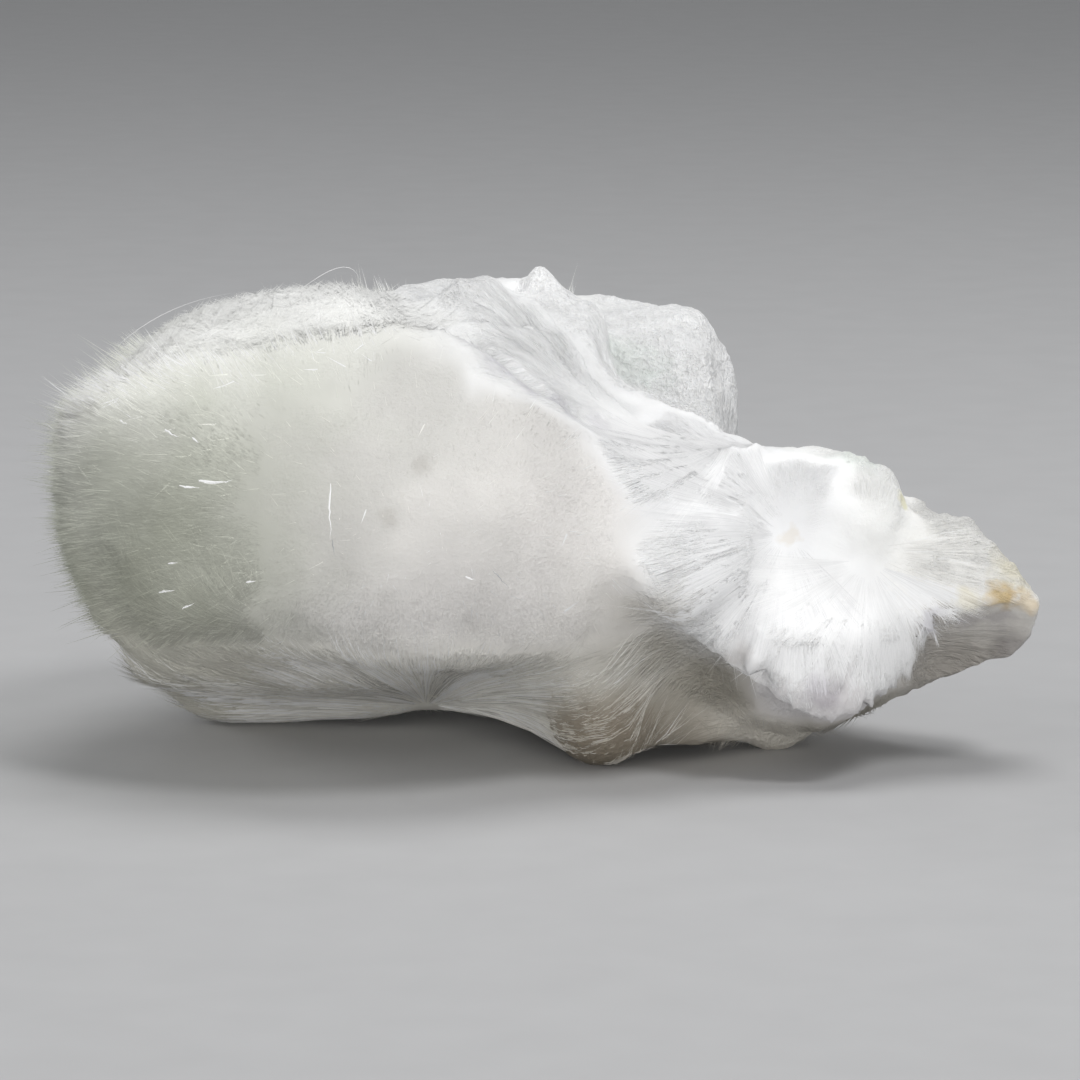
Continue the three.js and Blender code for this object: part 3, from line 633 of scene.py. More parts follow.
class Skin:
    """The body's surface: roots of needles are drawn from it, and fibres are laid along it."""

    def __init__(self, body, soft_normals):
        mesh = body.data
        mesh.calc_loop_triangles()
        triangles = np.empty(len(mesh.loop_triangles) * 3, dtype=np.int32)
        mesh.loop_triangles.foreach_get("vertices", triangles)
        self.triangles = triangles.reshape(-1, 3)
        self.points = layout(positions(mesh))
        self.normals = soft_normals
        self.shares = shares_at(self.points)
        self.tints = tints_at(self.points, self.shares)
        self.tree = BVHTree.FromPolygons(self.points.tolist(), self.triangles.tolist())
        corners = self.points[self.triangles]
        across = np.cross(corners[:, 1] - corners[:, 0], corners[:, 2] - corners[:, 0])
        self.areas = np.linalg.norm(across, axis=1) / 2

    def draw(self, count, weights):
        """Roots drawn at random, more where the weights of the vertices are high."""
        chance = self.areas * weights[self.triangles].mean(axis=1)
        chosen = rng.choice(len(self.areas), size=count, p=chance / chance.sum())
        split = rng.dirichlet((1, 1, 1), size=count)
        corners = self.triangles[chosen]
        roots = (self.points[corners] * split[:, :, None]).sum(axis=1)
        normals = unit((self.normals[corners] * split[:, :, None]).sum(axis=1))
        shares = (self.shares[corners] * split[:, :, None]).sum(axis=1)
        tints = (self.tints[corners] * split[:, :, None]).sum(axis=1)
        return roots, normals, shares, tints

    def touch(self, points):
        """The nearest places on the surface to some points, and the smoothed surface's normals there."""
        places = np.empty_like(points)
        normals = np.empty_like(points)
        for row, point in enumerate(points):
            place, _, face, _ = self.tree.find_nearest(point)
            places[row] = place
            normals[row] = self.normals[self.triangles[face, 0]]
        return places, normals


# ---------------------------------------------------------------- needles and fibres

DARKEST = 0.02
BRIGHTEST = 0.95

# How near the floor and how far past the solid's box fibres may reach, and the shortest needle kept.
FLOOR_GAP = 0.02
BOX_LOW = layout(np.array(CAD_LOW)) - (0.9, 0.7, -FLOOR_GAP)
BOX_HIGH = layout(np.array(CAD_HIGH)) + (0.4, 0.7, 0.45)
SHORTEST = 0.1

# A fibre's width at its root, how soon it is full, and how soon it narrows to the tip.
ROOT_WIDTH = 0.45
ROOT_GROWTH = 2.5
TIP_TAPER = 1.6


def mesh_piece(name, places, faces, normals, colors, tips):
    """A mesh of triangles. Places are millimetres; the normals make many fibres shade as one surface."""
    mesh = bpy.data.meshes.new(name)
    mesh.vertices.add(len(places))
    mesh.vertices.foreach_set("co", ((places + ORIGIN) * MM).astype(np.float32).ravel())
    mesh.loops.add(faces.size)
    mesh.loops.foreach_set("vertex_index", faces.astype(np.int32).ravel())
    mesh.polygons.add(len(faces))
    mesh.polygons.foreach_set("loop_start", np.arange(0, faces.size, 3, dtype=np.int32))
    mesh.update(calc_edges=True)
    put_attribute(mesh, "tint", np.clip(colors, DARKEST, BRIGHTEST))
    put_attribute(mesh, "tip", tips)
    piece = bpy.data.objects.new(name, mesh)
    bpy.context.scene.collection.objects.link(piece)
    only(piece)
    bpy.ops.object.shade_smooth()
    mesh.normals_split_custom_set_from_vertices(normals.tolist())
    piece.visible_shadow = False
    piece.visible_diffuse = False
    return piece


def one_needle():
    """A three-sided needle, one millimetre wide and long, from which every other is copied."""
    bpy.ops.object.select_all(action="DESELECT")
    bpy.ops.mesh.primitive_cone_add(vertices=3, radius1=0.5, radius2=0, depth=1, location=(0, 0, 0.5))
    cone = bpy.context.object
    bpy.ops.object.transform_apply(location=True, rotation=True, scale=True)
    bpy.ops.object.mode_set(mode="EDIT")
    bpy.ops.mesh.select_all(action="SELECT")
    bpy.ops.mesh.quads_convert_to_tris()
    bpy.ops.object.mode_set(mode="OBJECT")
    corners = positions(cone.data)
    faces = np.array([list(face.vertices) for face in cone.data.polygons])
    bpy.data.objects.remove(cone)
    return corners, faces


def kept_inside(roots, along, lengths):
    """Shortens the needles whose tips would leave the object's box or go into the floor."""
    room = np.where(along > 0, BOX_HIGH - roots, roots - BOX_LOW)
    reach = np.maximum(room, 0) / np.maximum(np.abs(along), TINY)
    return np.minimum(lengths, reach.min(axis=1))


def joined_needles(name, roots, along, lengths, widths, skins, softness, colors):
    """One mesh of a copy of the needle on each root. skins are the normals of the surface below."""
    lengths = kept_inside(roots, along, lengths)
    keep = lengths > SHORTEST
    roots, along, lengths, widths = roots[keep], along[keep], lengths[keep], widths[keep]
    skins, colors = skins[keep], colors[keep]
    corners, faces = one_needle()
    count = len(roots)
    each = len(corners)
    side = unit(np.cross(along, rng.normal(size=(count, 3))))
    other = np.cross(along, side)
    across = (
        side[:, None, :] * corners[None, :, 0, None]
        + other[:, None, :] * corners[None, :, 1, None]
    )
    places = (
        roots[:, None, :]
        + across * widths[:, None, None]
        + along[:, None, :] * (corners[None, :, 2] * lengths[:, None])[:, :, None]
    )
    normals = unit(softness * skins[:, None, :] + (1 - softness) * 2 * across + TINY)
    indices = faces[None, :, :] + (np.arange(count) * each)[:, None, None]
    return mesh_piece(
        name, places.reshape(-1, 3), indices.reshape(-1, 3), normals.reshape(-1, 3),
        np.repeat(colors, each, axis=0), np.tile(corners[:, 2], count),
    )


def joined_tubes(name, paths, widths, skins, softness, colors, sides=3):
    """One mesh of fibres that follow paths (fibre, step, place) and taper to a point."""
    count, steps = paths.shape[:2]
    run = unit(np.gradient(paths, axis=1))
    side = unit(np.cross(run, skins + TINY))
    other = np.cross(run, side)
    turns = np.arange(sides) * 2 * math.pi / sides
    wide = side[:, :, None, :] * np.cos(turns)[None, None, :, None]
    deep = other[:, :, None, :] * np.sin(turns)[None, None, :, None]
    across = wide + deep
    share = np.linspace(0, 1, steps)
    taper = np.minimum(1, TIP_TAPER * (1 - share)) * np.minimum(1, ROOT_WIDTH + ROOT_GROWTH * share)
    radii = 0.5 * widths[:, None] * taper[None, :]
    rings = paths[:, :, None, :] + across * radii[:, :, None, None]
    normals = unit(softness * skins[:, :, None, :] + (1 - softness) * across)
    places = np.concatenate([rings[:, :-1].reshape(count, -1, 3), paths[:, -1:, :]], axis=1)
    last_normals = unit(normals[:, -1:].mean(axis=2))
    shading = np.concatenate([normals[:, :-1].reshape(count, -1, 3), last_normals], axis=1)
    places = np.minimum(np.maximum(places, BOX_LOW), BOX_HIGH)
    each = places.shape[1]
    faces = [(0, corner + 1, corner) for corner in range(1, sides - 1)]
    for step in range(steps - 2):
        for corner in range(sides):
            low = sides * step + corner
            next_low = sides * step + (corner + 1) % sides
            faces += [(low, next_low, next_low + sides), (low, next_low + sides, low + sides)]
    last = sides * (steps - 2)
    faces += [(last + corner, last + (corner + 1) % sides, each - 1) for corner in range(sides)]
    indices = np.array(faces)[None, :, :] + (np.arange(count) * each)[:, None, None]
    tips = np.tile(np.append(np.repeat(share[:-1], sides), 1.0), count)
    return mesh_piece(
        name, places.reshape(-1, 3), indices.reshape(-1, 3), shading.reshape(-1, 3),
        np.repeat(colors, each, axis=0), tips,
    )


# Standing needles: the scales at which they lean together in tufts and singly, how much they lean at
# random, how far they must look away from the surface, how much longer the long ones are, how deep their
# roots sit, and how much length and tone vary from place to place.
TUFT_SCALE = 0.7
SINGLE_SCALE = 2.2
RANDOM_LEAN = 0.08
LEAST_OUTWARD = 0.35
LONG_FACTOR = 1.8
STANDING_ROOT = 0.06
LENGTH_SCALE = 1.3
LENGTH_VARIES = 0.3
TONE_SCALE = 0.5
TONE_VARIES = 0.06

# Lying needles: how they lean together, and how deep their roots sit.
LYING_SCALE = 1.1
LYING_LEAN = 0.08
LYING_ROOT = 0.02


def velvet(name, skin, weights, spec):
    """Needles that stand on the furry parts and lean together in tufts."""
    count = spec["count"]
    roots, normals, shares, tints = skin.draw(count, weights)
    along = fibre_directions(roots, shares)
    tufted = spec["combed"] * wander(roots, TUFT_SCALE, 3.0)
    tousled = spec["tousled"] * wander(roots, SINGLE_SCALE, 8.0)
    stray = RANDOM_LEAN * rng.normal(size=roots.shape)
    stand = unit(along + spec["upright"] * normals + tufted + tousled + stray)
    outward = (stand * normals).sum(axis=1)
    stand = unit(stand + np.clip(LEAST_OUTWARD - outward, 0, 1)[:, None] * normals)
    lengths = rng.uniform(*spec["length"], count) * (1 + LENGTH_VARIES * noise_at(roots, LENGTH_SCALE))
    longer = rng.random(count) < spec["long_share"]
    lengths[longer] *= LONG_FACTOR
    tones = spec["bright"] + TONE_VARIES * noise_at(roots, TONE_SCALE, 9.0)
    tones = tones + rng.normal(0, spec["grain"], count)
    colors = tints * tones[:, None]
    widths = rng.uniform(*spec["width"], count)
    roots = roots - STANDING_ROOT * normals
    return joined_needles(name, roots, stand, lengths, widths, normals, spec["softness"], colors)


def lying_needles(name, skin, weights, spec):
    """Fine fibres that lie along the surface, with their ends a little raised, astray where matted."""
    count = spec["count"]
    roots, normals, shares, tints = skin.draw(count, weights)
    along = fibre_directions(roots, shares)
    along = along * (1 - spec["astray"]) + spec["astray"] * rng.normal(size=roots.shape)
    flat = unit(along - (along * normals).sum(axis=1, keepdims=True) * normals)
    lift = rng.uniform(*spec["rise"], count)[:, None]
    run = unit(flat + lift * normals + LYING_LEAN * wander(roots, LYING_SCALE, 5.0))
    lengths = rng.uniform(*spec["length"], count)
    widths = rng.uniform(*spec["width"], count)
    tones = spec["bright"] + rng.normal(0, spec["grain"], count)
    colors = tints * tones[:, None]
    roots = roots - LYING_ROOT * normals
    return joined_needles(name, roots, run, lengths, widths, normals, spec["softness"], colors)


# A spray's fibres: the steps of each, the steps that bring it from the nucleus to its start, where the
# first of those begins, how much of a clump's width the fibres fill, how far along the clump they end, how
# high in it they lie, and how soon they rise to that height.
STEPS = 5
APPROACH = 4
FIRST_STEP = 0.3
CLUMP_WIDTH = 1.3
ENDS = (0.8, 1.06)
LAYERS = (0.3, 1.0)
ROOT_HEIGHT = 0.2
RISE_EACH_STEP = 0.5
SWAY_SCALE = 1.4


def spray(name, skin, spec):
    """Long fibres that run from a nucleus over the surface in clumps, with their ends free."""
    nucleus, normal = (found[0] for found in skin.touch(np.array([spec["nucleus"]], float)))
    ahead = unit(np.array(spec["toward"], float) - nucleus)
    ahead = unit(ahead - (ahead @ normal) * normal)
    beside = np.cross(normal, ahead)
    clumps = spec["clumps"]
    count = spec["count"]
    spread = np.radians(spec["spread"])
    turns = spread * (np.linspace(-1, 1, clumps) + rng.uniform(-0.5, 0.5, clumps) / clumps)
    reaches = rng.uniform(*spec["reach"], clumps)
    heights = rng.uniform(0.0, spec["thick"], clumps)
    clump = rng.integers(clumps, size=count)
    offset = rng.normal(0, spread / clumps * CLUMP_WIDTH, count)
    end = reaches[clump] * rng.uniform(*ENDS, count)
    start = end * rng.uniform(*spec["start"], count)
    height = heights[clump] * rng.uniform(*LAYERS, count)
    own, skins = laid_paths(skin, spec, nucleus, ahead, beside, turns[clump] + offset, start, end, height)
    guide, _ = laid_paths(skin, spec, nucleus, ahead, beside, turns[clump], start, end, height)
    pull = spec["gather"] * np.linspace(0, 1, STEPS)[None, :, None] ** 2
    paths = own * (1 - pull) + guide * pull
    clump_tones = rng.normal(0, spec["streaky"], clumps)
    tones = 1 + clump_tones[clump] + rng.normal(0, spec["streaky"], count)
    colors = np.array(spec["color"]) * tones[:, None]
    widths = rng.uniform(*spec["width"], count)
    return joined_tubes(name, paths, widths, skins, spec["softness"], colors)


def laid_paths(skin, spec, nucleus, ahead, beside, turns, start, end, height):
    """Paths that leave the nucleus at their turns and hug the surface until their free ends."""
    way = np.cos(turns)[:, None] * ahead + np.sin(turns)[:, None] * beside
    pace = ((end - start) / (STEPS - 1))[:, None]
    point = nucleus + way * FIRST_STEP
    normals = np.zeros_like(point)
    for _ in range(APPROACH):
        point, normals = skin.touch(point + way * (start / APPROACH)[:, None])
        way = unit(point - nucleus)
        way = unit(way - (way * normals).sum(axis=1, keepdims=True) * normals)
    paths = np.empty((len(turns), STEPS, 3))
    skins = np.empty_like(paths)
    free_from = STEPS * (1 - spec["free"])
    for step in range(STEPS):
        risen = min(1.0, ROOT_HEIGHT + RISE_EACH_STEP * step)
        paths[:, step] = point + normals * height[:, None] * risen
        skins[:, step] = normals
        ahead_point = point + way * pace
        if step + 1 < free_from:
            ahead_point, normals = skin.touch(ahead_point)
        else:
            ahead_point = ahead_point + normals * spec["lift"] * pace
        radial = unit(ahead_point - nucleus)
        way = unit(way + radial + spec.get("sway", 0.0) * wander(ahead_point, SWAY_SCALE, 70.0))
        if step + 1 < free_from:
            way = unit(way - (way * normals).sum(axis=1, keepdims=True) * normals)
        point = ahead_point
    return paths, skins


# ---------------------------------------------------------------- materials

# Spots of another tone: middle, reach in millimetres, the colour that they multiply by, and how strongly.
# First the rusty stain at the pointed end, its paler stains and the faint yellow of its ridge, a greenish
# tint on a facet, and the grey-green hollow of the lump behind, partly a tint and partly painted shade.
# Then painted shade: lilac-grey between the slab and the ball, under the pointed end's ridge and on its
# underside, at the front foot, in the recess between the tuft's clumps and under the lobe. Last a warm spot
# on the lobe's knot and faint grey marks on the bulge.
STAINS_AND_SHADES = [
    ((18.4, -2.3, 7.0), 0.9, (0.78, 0.60, 0.32), 0.9),
    ((19.3, -2.0, 6.9), 0.8, (0.80, 0.64, 0.40), 0.6),
    ((16.9, -2.6, 7.1), 0.7, (0.92, 0.86, 0.66), 0.5),
    ((18.9, -0.9, 7.9), 1.4, (0.94, 0.88, 0.68), 0.6),
    ((14.6, -0.5, 10.9), 0.5, (0.90, 0.86, 0.55), 0.6),
    ((12.6, 0.6, 12.3), 1.4, (0.86, 0.92, 0.88), 0.6),
    # A grey-green tint with painted shade in the hollow.
    ((3.4, 8.9, 15.6), 1.9, (0.78, 0.84, 0.79), 0.55),
    ((4.6, 9.2, 14.2), 1.2, (0.86, 0.91, 0.88), 0.4),
    # Painted lilac-grey shade between the slab and the ball.
    ((-3.3, -2.6, 17.5), 1.0, (0.86, 0.85, 0.87), 0.7),
    ((-2.1, -2.8, 16.8), 1.1, (0.84, 0.83, 0.86), 0.8),
    ((-0.8, -2.6, 15.8), 1.0, (0.84, 0.83, 0.86), 0.8),
    ((0.5, -1.9, 15.0), 0.9, (0.84, 0.83, 0.86), 0.8),
    ((2.0, -0.4, 14.1), 0.8, (0.84, 0.83, 0.85), 0.7),
    # Painted shade under the pointed end's ridge, on its underside and at the front foot.
    ((15.4, -3.0, 6.2), 0.8, (0.80, 0.79, 0.82), 0.9),
    ((16.9, -1.6, 6.0), 0.9, (0.78, 0.77, 0.80), 0.9),
    ((18.4, -1.4, 6.0), 0.8, (0.76, 0.75, 0.78), 0.9),
    ((19.2, 0.3, 4.6), 1.6, (0.62, 0.61, 0.63), 0.9),
    ((2.0, -2.0, 1.2), 3.2, (0.62, 0.58, 0.52), 0.8),
    # Painted shade in the recess between the tuft's clumps and under the lobe.
    ((11.0, -5.4, 3.9), 1.0, (0.70, 0.68, 0.71), 0.9),
    ((7.6, -5.0, 5.3), 0.8, (0.80, 0.78, 0.77), 0.8),
    ((9.6, -2.0, 9.5), 0.45, (0.90, 0.86, 0.80), 0.8),
    ((-4.9, -8.2, 13.7), 0.7, (0.86, 0.85, 0.84), 0.8),
    ((-6.3, -9.6, 11.6), 0.5, (0.90, 0.89, 0.88), 0.8),
]

# How far a spot's border strays, how far in it is full, and the tones of the mottling all over.
SPOT_STRAYS = 1.4
SPOT_FULL = 0.35
MOTTLING = (0.92, 1.05)

# The range that Blender's noise mostly stays in.
NOISE_RANGE = (0.3, 0.7)


def feed(tree, socket, value):
    """Links a socket to another node's output, or sets it to a plain value."""
    if isinstance(value, bpy.types.NodeSocket):
        tree.links.new(value, socket)
    else:
        socket.default_value = value


def node(tree, kind, place, values=None, **settings):
    """A new node, with its settings made and then its inputs fed, by name or number."""
    made = tree.nodes.new(kind)
    made.location = place
    for name, setting in settings.items():
        setattr(made, name, setting)
    for name, value in (values or {}).items():
        feed(tree, made.inputs[name], value)
    return made


def calculated(tree, place, operation, *values):
    """The output of one Math operation on plain values or other nodes' outputs."""
    return node(tree, "ShaderNodeMath", place, dict(enumerate(values)), operation=operation).outputs[0]


def mapped(tree, place, value, low, high, to_low=0.0, to_high=1.0):
    """A value brought from between low and high to between to_low and to_high, and held there."""
    values = {"Value": value, "From Min": low, "From Max": high, "To Min": to_low, "To Max": to_high}
    return node(tree, "ShaderNodeMapRange", place, values).outputs["Result"]


def scaled(tree, place, color, factor):
    """A colour times a number."""
    values = {0: color, "Scale": factor}
    return node(tree, "ShaderNodeVectorMath", place, values, operation="SCALE").outputs["Vector"]


def attribute(tree, name, place, output="Fac"):
    """What a piece carries under a name: a number, or a vector."""
    return node(tree, "ShaderNodeAttribute", place, attribute_name=name).outputs[output]


def object_place(tree, place):
    return node(tree, "ShaderNodeTexCoord", place).outputs["Object"]


def streaks_group():
    """Fine streaks along the fibres, from the way the fibres run at each point."""
    tree = bpy.data.node_groups.new("FibreStreaks", "ShaderNodeTree")
    tree.interface.new_socket("Fibre", in_out="INPUT", socket_type="NodeSocketVector")
    tree.interface.new_socket("Scale", in_out="INPUT", socket_type="NodeSocketFloat")
    tree.interface.new_socket("Streak", in_out="OUTPUT", socket_type="NodeSocketFloat")
    inputs = node(tree, "NodeGroupInput", (-600, 0))
    threads = node(tree, "ShaderNodeTexNoise", (-350, 0), {
        "Vector": inputs.outputs["Fibre"],
        "Scale": inputs.outputs["Scale"],
        "Detail": 3.0,
        "Roughness": 0.65,
    })
    streak = mapped(tree, (-100, 0), threads.outputs["Fac"], *NOISE_RANGE)
    node(tree, "NodeGroupOutput", (150, 0), {"Streak": streak})
    return tree


def stain_and_shade_group():
    """The colour of the fibres, mottled, with every stain and painted shade laid over it."""
    tree = bpy.data.node_groups.new("StainedAndShadedFibre", "ShaderNodeTree")
    tree.interface.new_socket("Color", in_out="INPUT", socket_type="NodeSocketColor")
    tree.interface.new_socket("Color", in_out="OUTPUT", socket_type="NodeSocketColor")
    inputs = node(tree, "NodeGroupInput", (-650, 0))
    place = object_place(tree, (-1100, 0))
    fine = {"Vector": place, "Scale": 1400.0, "Detail": 4.0}
    border = node(tree, "ShaderNodeTexNoise", (-850, -160), fine).outputs["Fac"]
    coarse = {"Vector": place, "Scale": 300.0, "Detail": 3.0}
    blotches = node(tree, "ShaderNodeTexNoise", (-850, 260), coarse).outputs["Fac"]
    mottling = mapped(tree, (-620, 260), blotches, *NOISE_RANGE, *MOTTLING)
    color = scaled(tree, (-400, 120), inputs.outputs["Color"], mottling)
    strays = SPOT_STRAYS * MM
    for row, (middle, reach, tone, share) in enumerate(STAINS_AND_SHADES):
        down = -400 - 260 * row
        ends = {0: place, 1: metres(*middle)}
        away = node(tree, "ShaderNodeVectorMath", (-850, down), ends, operation="DISTANCE").outputs["Value"]
        ragged = calculated(tree, (-620, down), "MULTIPLY_ADD", border, strays, away)
        outer = reach * MM + strays / 2
        inner = SPOT_FULL * reach * MM + strays / 2
        values = {"Factor": mapped(tree, (-400, down), ragged, outer, inner, to_high=share)}
        values["A"] = color
        values["B"] = (*tone, 1)
        along = -150 + 170 * row
        mix = node(tree, "ShaderNodeMix", (along, 0), values, data_type="RGBA", blend_type="MULTIPLY")
        color = mix.outputs["Result"]
    node(tree, "NodeGroupOutput", (-150 + 170 * len(STAINS_AND_SHADES), 0), {"Color": color})
    return tree


STREAKS_GROUP = streaks_group()
STAINS_AND_SHADES_GROUP = stain_and_shade_group()


def new_material(name):
    material = bpy.data.materials.new(name)
    material.use_nodes = True
    tree = material.node_tree
    return material, tree, tree.nodes["Principled BSDF"]


def fibre_color(tree, tone):
    """The colour that a piece carries, times a tone, with the stains and painted shades over it."""
    tint = attribute(tree, "tint", (-700, 450), "Vector")
    toned = scaled(tree, (-450, 300), tint, tone)
    stained_and_shaded = node(tree, "ShaderNodeGroup", (-220, 300), {"Color": toned}, node_tree=STAINS_AND_SHADES_GROUP)
    return stained_and_shaded.outputs["Color"]


def streaks(tree, place, fibre, scale):
    """The body's streaks at one scale."""
    values = {"Fibre": fibre, "Scale": scale}
    return node(tree, "ShaderNodeGroup", place, values, node_tree=STREAKS_GROUP).outputs["Streak"]


# The body's tone in the open, what the painted shade in a hollow and a streak add to it, and how deep the
# streaks look.
OPEN_TONE = 0.99
CAVITY_SHADE_TONE = -0.15
STREAK_TONE = 0.22
STREAK_DEPTH = 0.00022


def body_material():
    """Matted fibres: streaks at two scales and a grain, which change both the tone and the surface, and
    painted shade that darkens the hollows.
    """
    material, tree, surface = new_material("MattedFibres")
    fibre = attribute(tree, "fibre", (-1500, 100), "Vector")
    fine = streaks(tree, (-1250, 100), fibre, 60.0)
    broad = streaks(tree, (-1250, -100), fibre, 16.0)
    half = calculated(tree, (-1000, -180), "MULTIPLY", broad, 0.5)
    both = calculated(tree, (-1000, 0), "MULTIPLY_ADD", fine, 0.5, half)
    centred = calculated(tree, (-850, -20), "SUBTRACT", both, 0.5)
    grain = node(tree, "ShaderNodeTexNoise", (-1250, -560), {
        "Vector": object_place(tree, (-1500, -560)),
        "Scale": 2200.0,
        "Detail": 5.0,
        "Roughness": 0.6,
    })
    level = calculated(tree, (-1050, -560), "SUBTRACT", grain.outputs["Fac"], 0.5)
    grit = calculated(tree, (-850, -560), "MULTIPLY", level, attribute(tree, "gritty", (-1250, -780)))
    streaked = attribute(tree, "streaked", (-1250, -350))
    relief = calculated(tree, (-650, -100), "MULTIPLY_ADD", centred, streaked, grit)
    # Painted shade: the body's colour is darker in its hollows.
    cavity_shade = attribute(tree, "cavity_shade", (-1250, 550))
    lowered = calculated(tree, (-950, 400), "MULTIPLY_ADD", cavity_shade, CAVITY_SHADE_TONE, OPEN_TONE)
    tone = calculated(tree, (-750, 250), "MULTIPLY_ADD", relief, STREAK_TONE, lowered)
    bump = node(tree, "ShaderNodeBump", (-300, -150), {
        "Strength": 0.9,
        "Distance": STREAK_DEPTH,
        "Height": relief,
    })
    tree.links.new(fibre_color(tree, tone), surface.inputs["Base Color"])
    tree.links.new(bump.outputs["Normal"], surface.inputs["Normal"])
    surface.inputs["Roughness"].default_value = 0.6
    surface.inputs["Specular IOR Level"].default_value = 0.35
    surface.inputs["Subsurface Weight"].default_value = 0.15
    surface.inputs["Subsurface Radius"].default_value = (1.0, 0.97, 0.92)
    surface.inputs["Subsurface Scale"].default_value = 0.0005
    return material


# A needle's tone at its root, kept lower as painted shade among the roots, and the painted light that its
# tip adds.
ROOT_SHADE_TONE = 0.95
TIP_LIGHT_TONE = 0.1


def needle_material(name, roughness):
    material, tree, surface = new_material(name)
    tip = attribute(tree, "tip", (-900, 0))
    # Painted shade at the root, painted light towards the tip.
    tone = calculated(tree, (-700, 150), "MULTIPLY_ADD", tip, TIP_LIGHT_TONE, ROOT_SHADE_TONE)
    tree.links.new(fibre_color(tree, tone), surface.inputs["Base Color"])
    surface.inputs["Roughness"].default_value = roughness
    surface.inputs["Specular IOR Level"].default_value = 0.4
    return material


# ---------------------------------------------------------------- camera, light and floor

# The camera: what it looks at in the layout, how high it looks from, and in metres how far it stands and
# half the width that it sees there.
CAMERA_TARGET = (-0.41, 0.0, 9.09)
CAMERA_ELEVATION = math.radians(10)
CAMERA_DISTANCE = 0.22
SEEN_HALF_WIDTH = 0.02203

# Soft round lights: name, place and width in metres, power and colour. All look at one place in the layout.
LIT_PLACE = (0, 0, 8)
WHITE = (1.0, 1.0, 1.0)
LIGHTS = [
    ("Front", (0.03, -0.30, 0.03), 0.11, 0.31, (1.0, 0.995, 0.985)),
    ("High", (0.12, -0.10, 0.25), 0.08, 0.24, WHITE),
    ("Top", (0.04, 0.06, 0.28), 0.16, 0.30, WHITE),
    ("Left", (-0.26, -0.16, 0.14), 0.20, 0.13, WHITE),
    ("Rim", (-0.28, 0.08, 0.12), 0.12, 0.14, WHITE),
]
WORLD_COLOR = (0.32, 0.325, 0.33, 1)

# The floor: its size, its place a little under the object, and the two tones of its paper.
FLOOR_SIZE = 1.6
FLOOR_PLACE = (0, 0.3, -0.00002)
PAPER_TONES = ((0.46, 0.46, 0.465, 1), (0.50, 0.50, 0.505, 1))


def set_camera():
    """A long lens from the broken front, a little above the floor."""
    back = Vector((0, -math.cos(CAMERA_ELEVATION), math.sin(CAMERA_ELEVATION)))
    lens = bpy.data.cameras.new("Camera")
    lens.sensor_width = 36
    lens.angle = 2 * math.atan(SEEN_HALF_WIDTH / CAMERA_DISTANCE)
    lens.clip_start = 0.01
    camera = bpy.data.objects.new("Camera", lens)
    camera.location = metres(*CAMERA_TARGET) + back * CAMERA_DISTANCE
    camera.rotation_euler = (math.pi / 2 - CAMERA_ELEVATION, 0, 0)
    bpy.context.scene.collection.objects.link(camera)
    bpy.context.scene.camera = camera


def set_light(name, place, width, power, color):
    lamp = bpy.data.lights.new(name, "AREA")
    lamp.shape = "DISK"
    lamp.size = width
    lamp.energy = power
    lamp.color = color
    light = bpy.data.objects.new(name, lamp)
    light.location = place
    aim = metres(*LIT_PLACE) - Vector(place)
    light.rotation_euler = aim.to_track_quat("-Z", "Y").to_euler()
    bpy.context.scene.collection.objects.link(light)


def paper_material():
    material, tree, surface = new_material("PalePaper")
    place = object_place(tree, (-700, 0))
    grain = node(tree, "ShaderNodeTexNoise", (-500, 0), {"Vector": place, "Scale": 300.0})
    values = {"Factor": grain.outputs["Fac"], "A": PAPER_TONES[0], "B": PAPER_TONES[1]}
    color = node(tree, "ShaderNodeMix", (-250, 0), values, data_type="RGBA", blend_type="MIX")
    tree.links.new(color.outputs["Result"], surface.inputs["Base Color"])
    surface.inputs["Roughness"].default_value = 0.7
    return material


def set_stage():
    """A pale floor, an even surround and the lights."""
    bpy.ops.object.select_all(action="DESELECT")
    bpy.ops.mesh.primitive_plane_add(size=FLOOR_SIZE, location=FLOOR_PLACE)
    floor = bpy.context.object
    floor.name = "Floor"
    bpy.ops.object.transform_apply(location=True, rotation=True, scale=True)
    floor.data.materials.append(paper_material())
    world = bpy.data.worlds.new("Studio")
    world.use_nodes = True
    world.node_tree.nodes["Background"].inputs["Color"].default_value = WORLD_COLOR
    bpy.context.scene.world = world
    bpy.context.scene.view_settings.view_transform = "Standard"
    for light in LIGHTS:
        set_light(*light)


# ---------------------------------------------------------------- the whole object

# Needles that stand on the furry balls: a short dense velvet, and longer ones on the left.
STANDING = {
    "velvet_bulge": dict(count=30000, bright=1.0, length=(0.14, 0.26), width=(0.02, 0.03), combed=0.1,
                         tousled=0.05, upright=1.2, long_share=0.003, grain=0.01, softness=0.985),
    "velvet_left": dict(count=46000, bright=1.0, length=(0.3, 0.75), width=(0.022, 0.038), combed=0.2,
                        tousled=0.16, upright=0.4, long_share=0.01, grain=0.06, softness=0.82),
    "velvet_back": dict(count=20000, bright=1.0, length=(0.4, 0.75), width=(0.045, 0.075), combed=0.2,
                        tousled=0.2, upright=0.4, long_share=0.01, grain=0.05, softness=0.8),
    "long_needles": dict(count=12000, bright=1.3, length=(0.55, 1.3), width=(0.028, 0.044), combed=0.3,
                         tousled=0.5, upright=0.3, long_share=0.05, grain=0.1, softness=0.6),
}

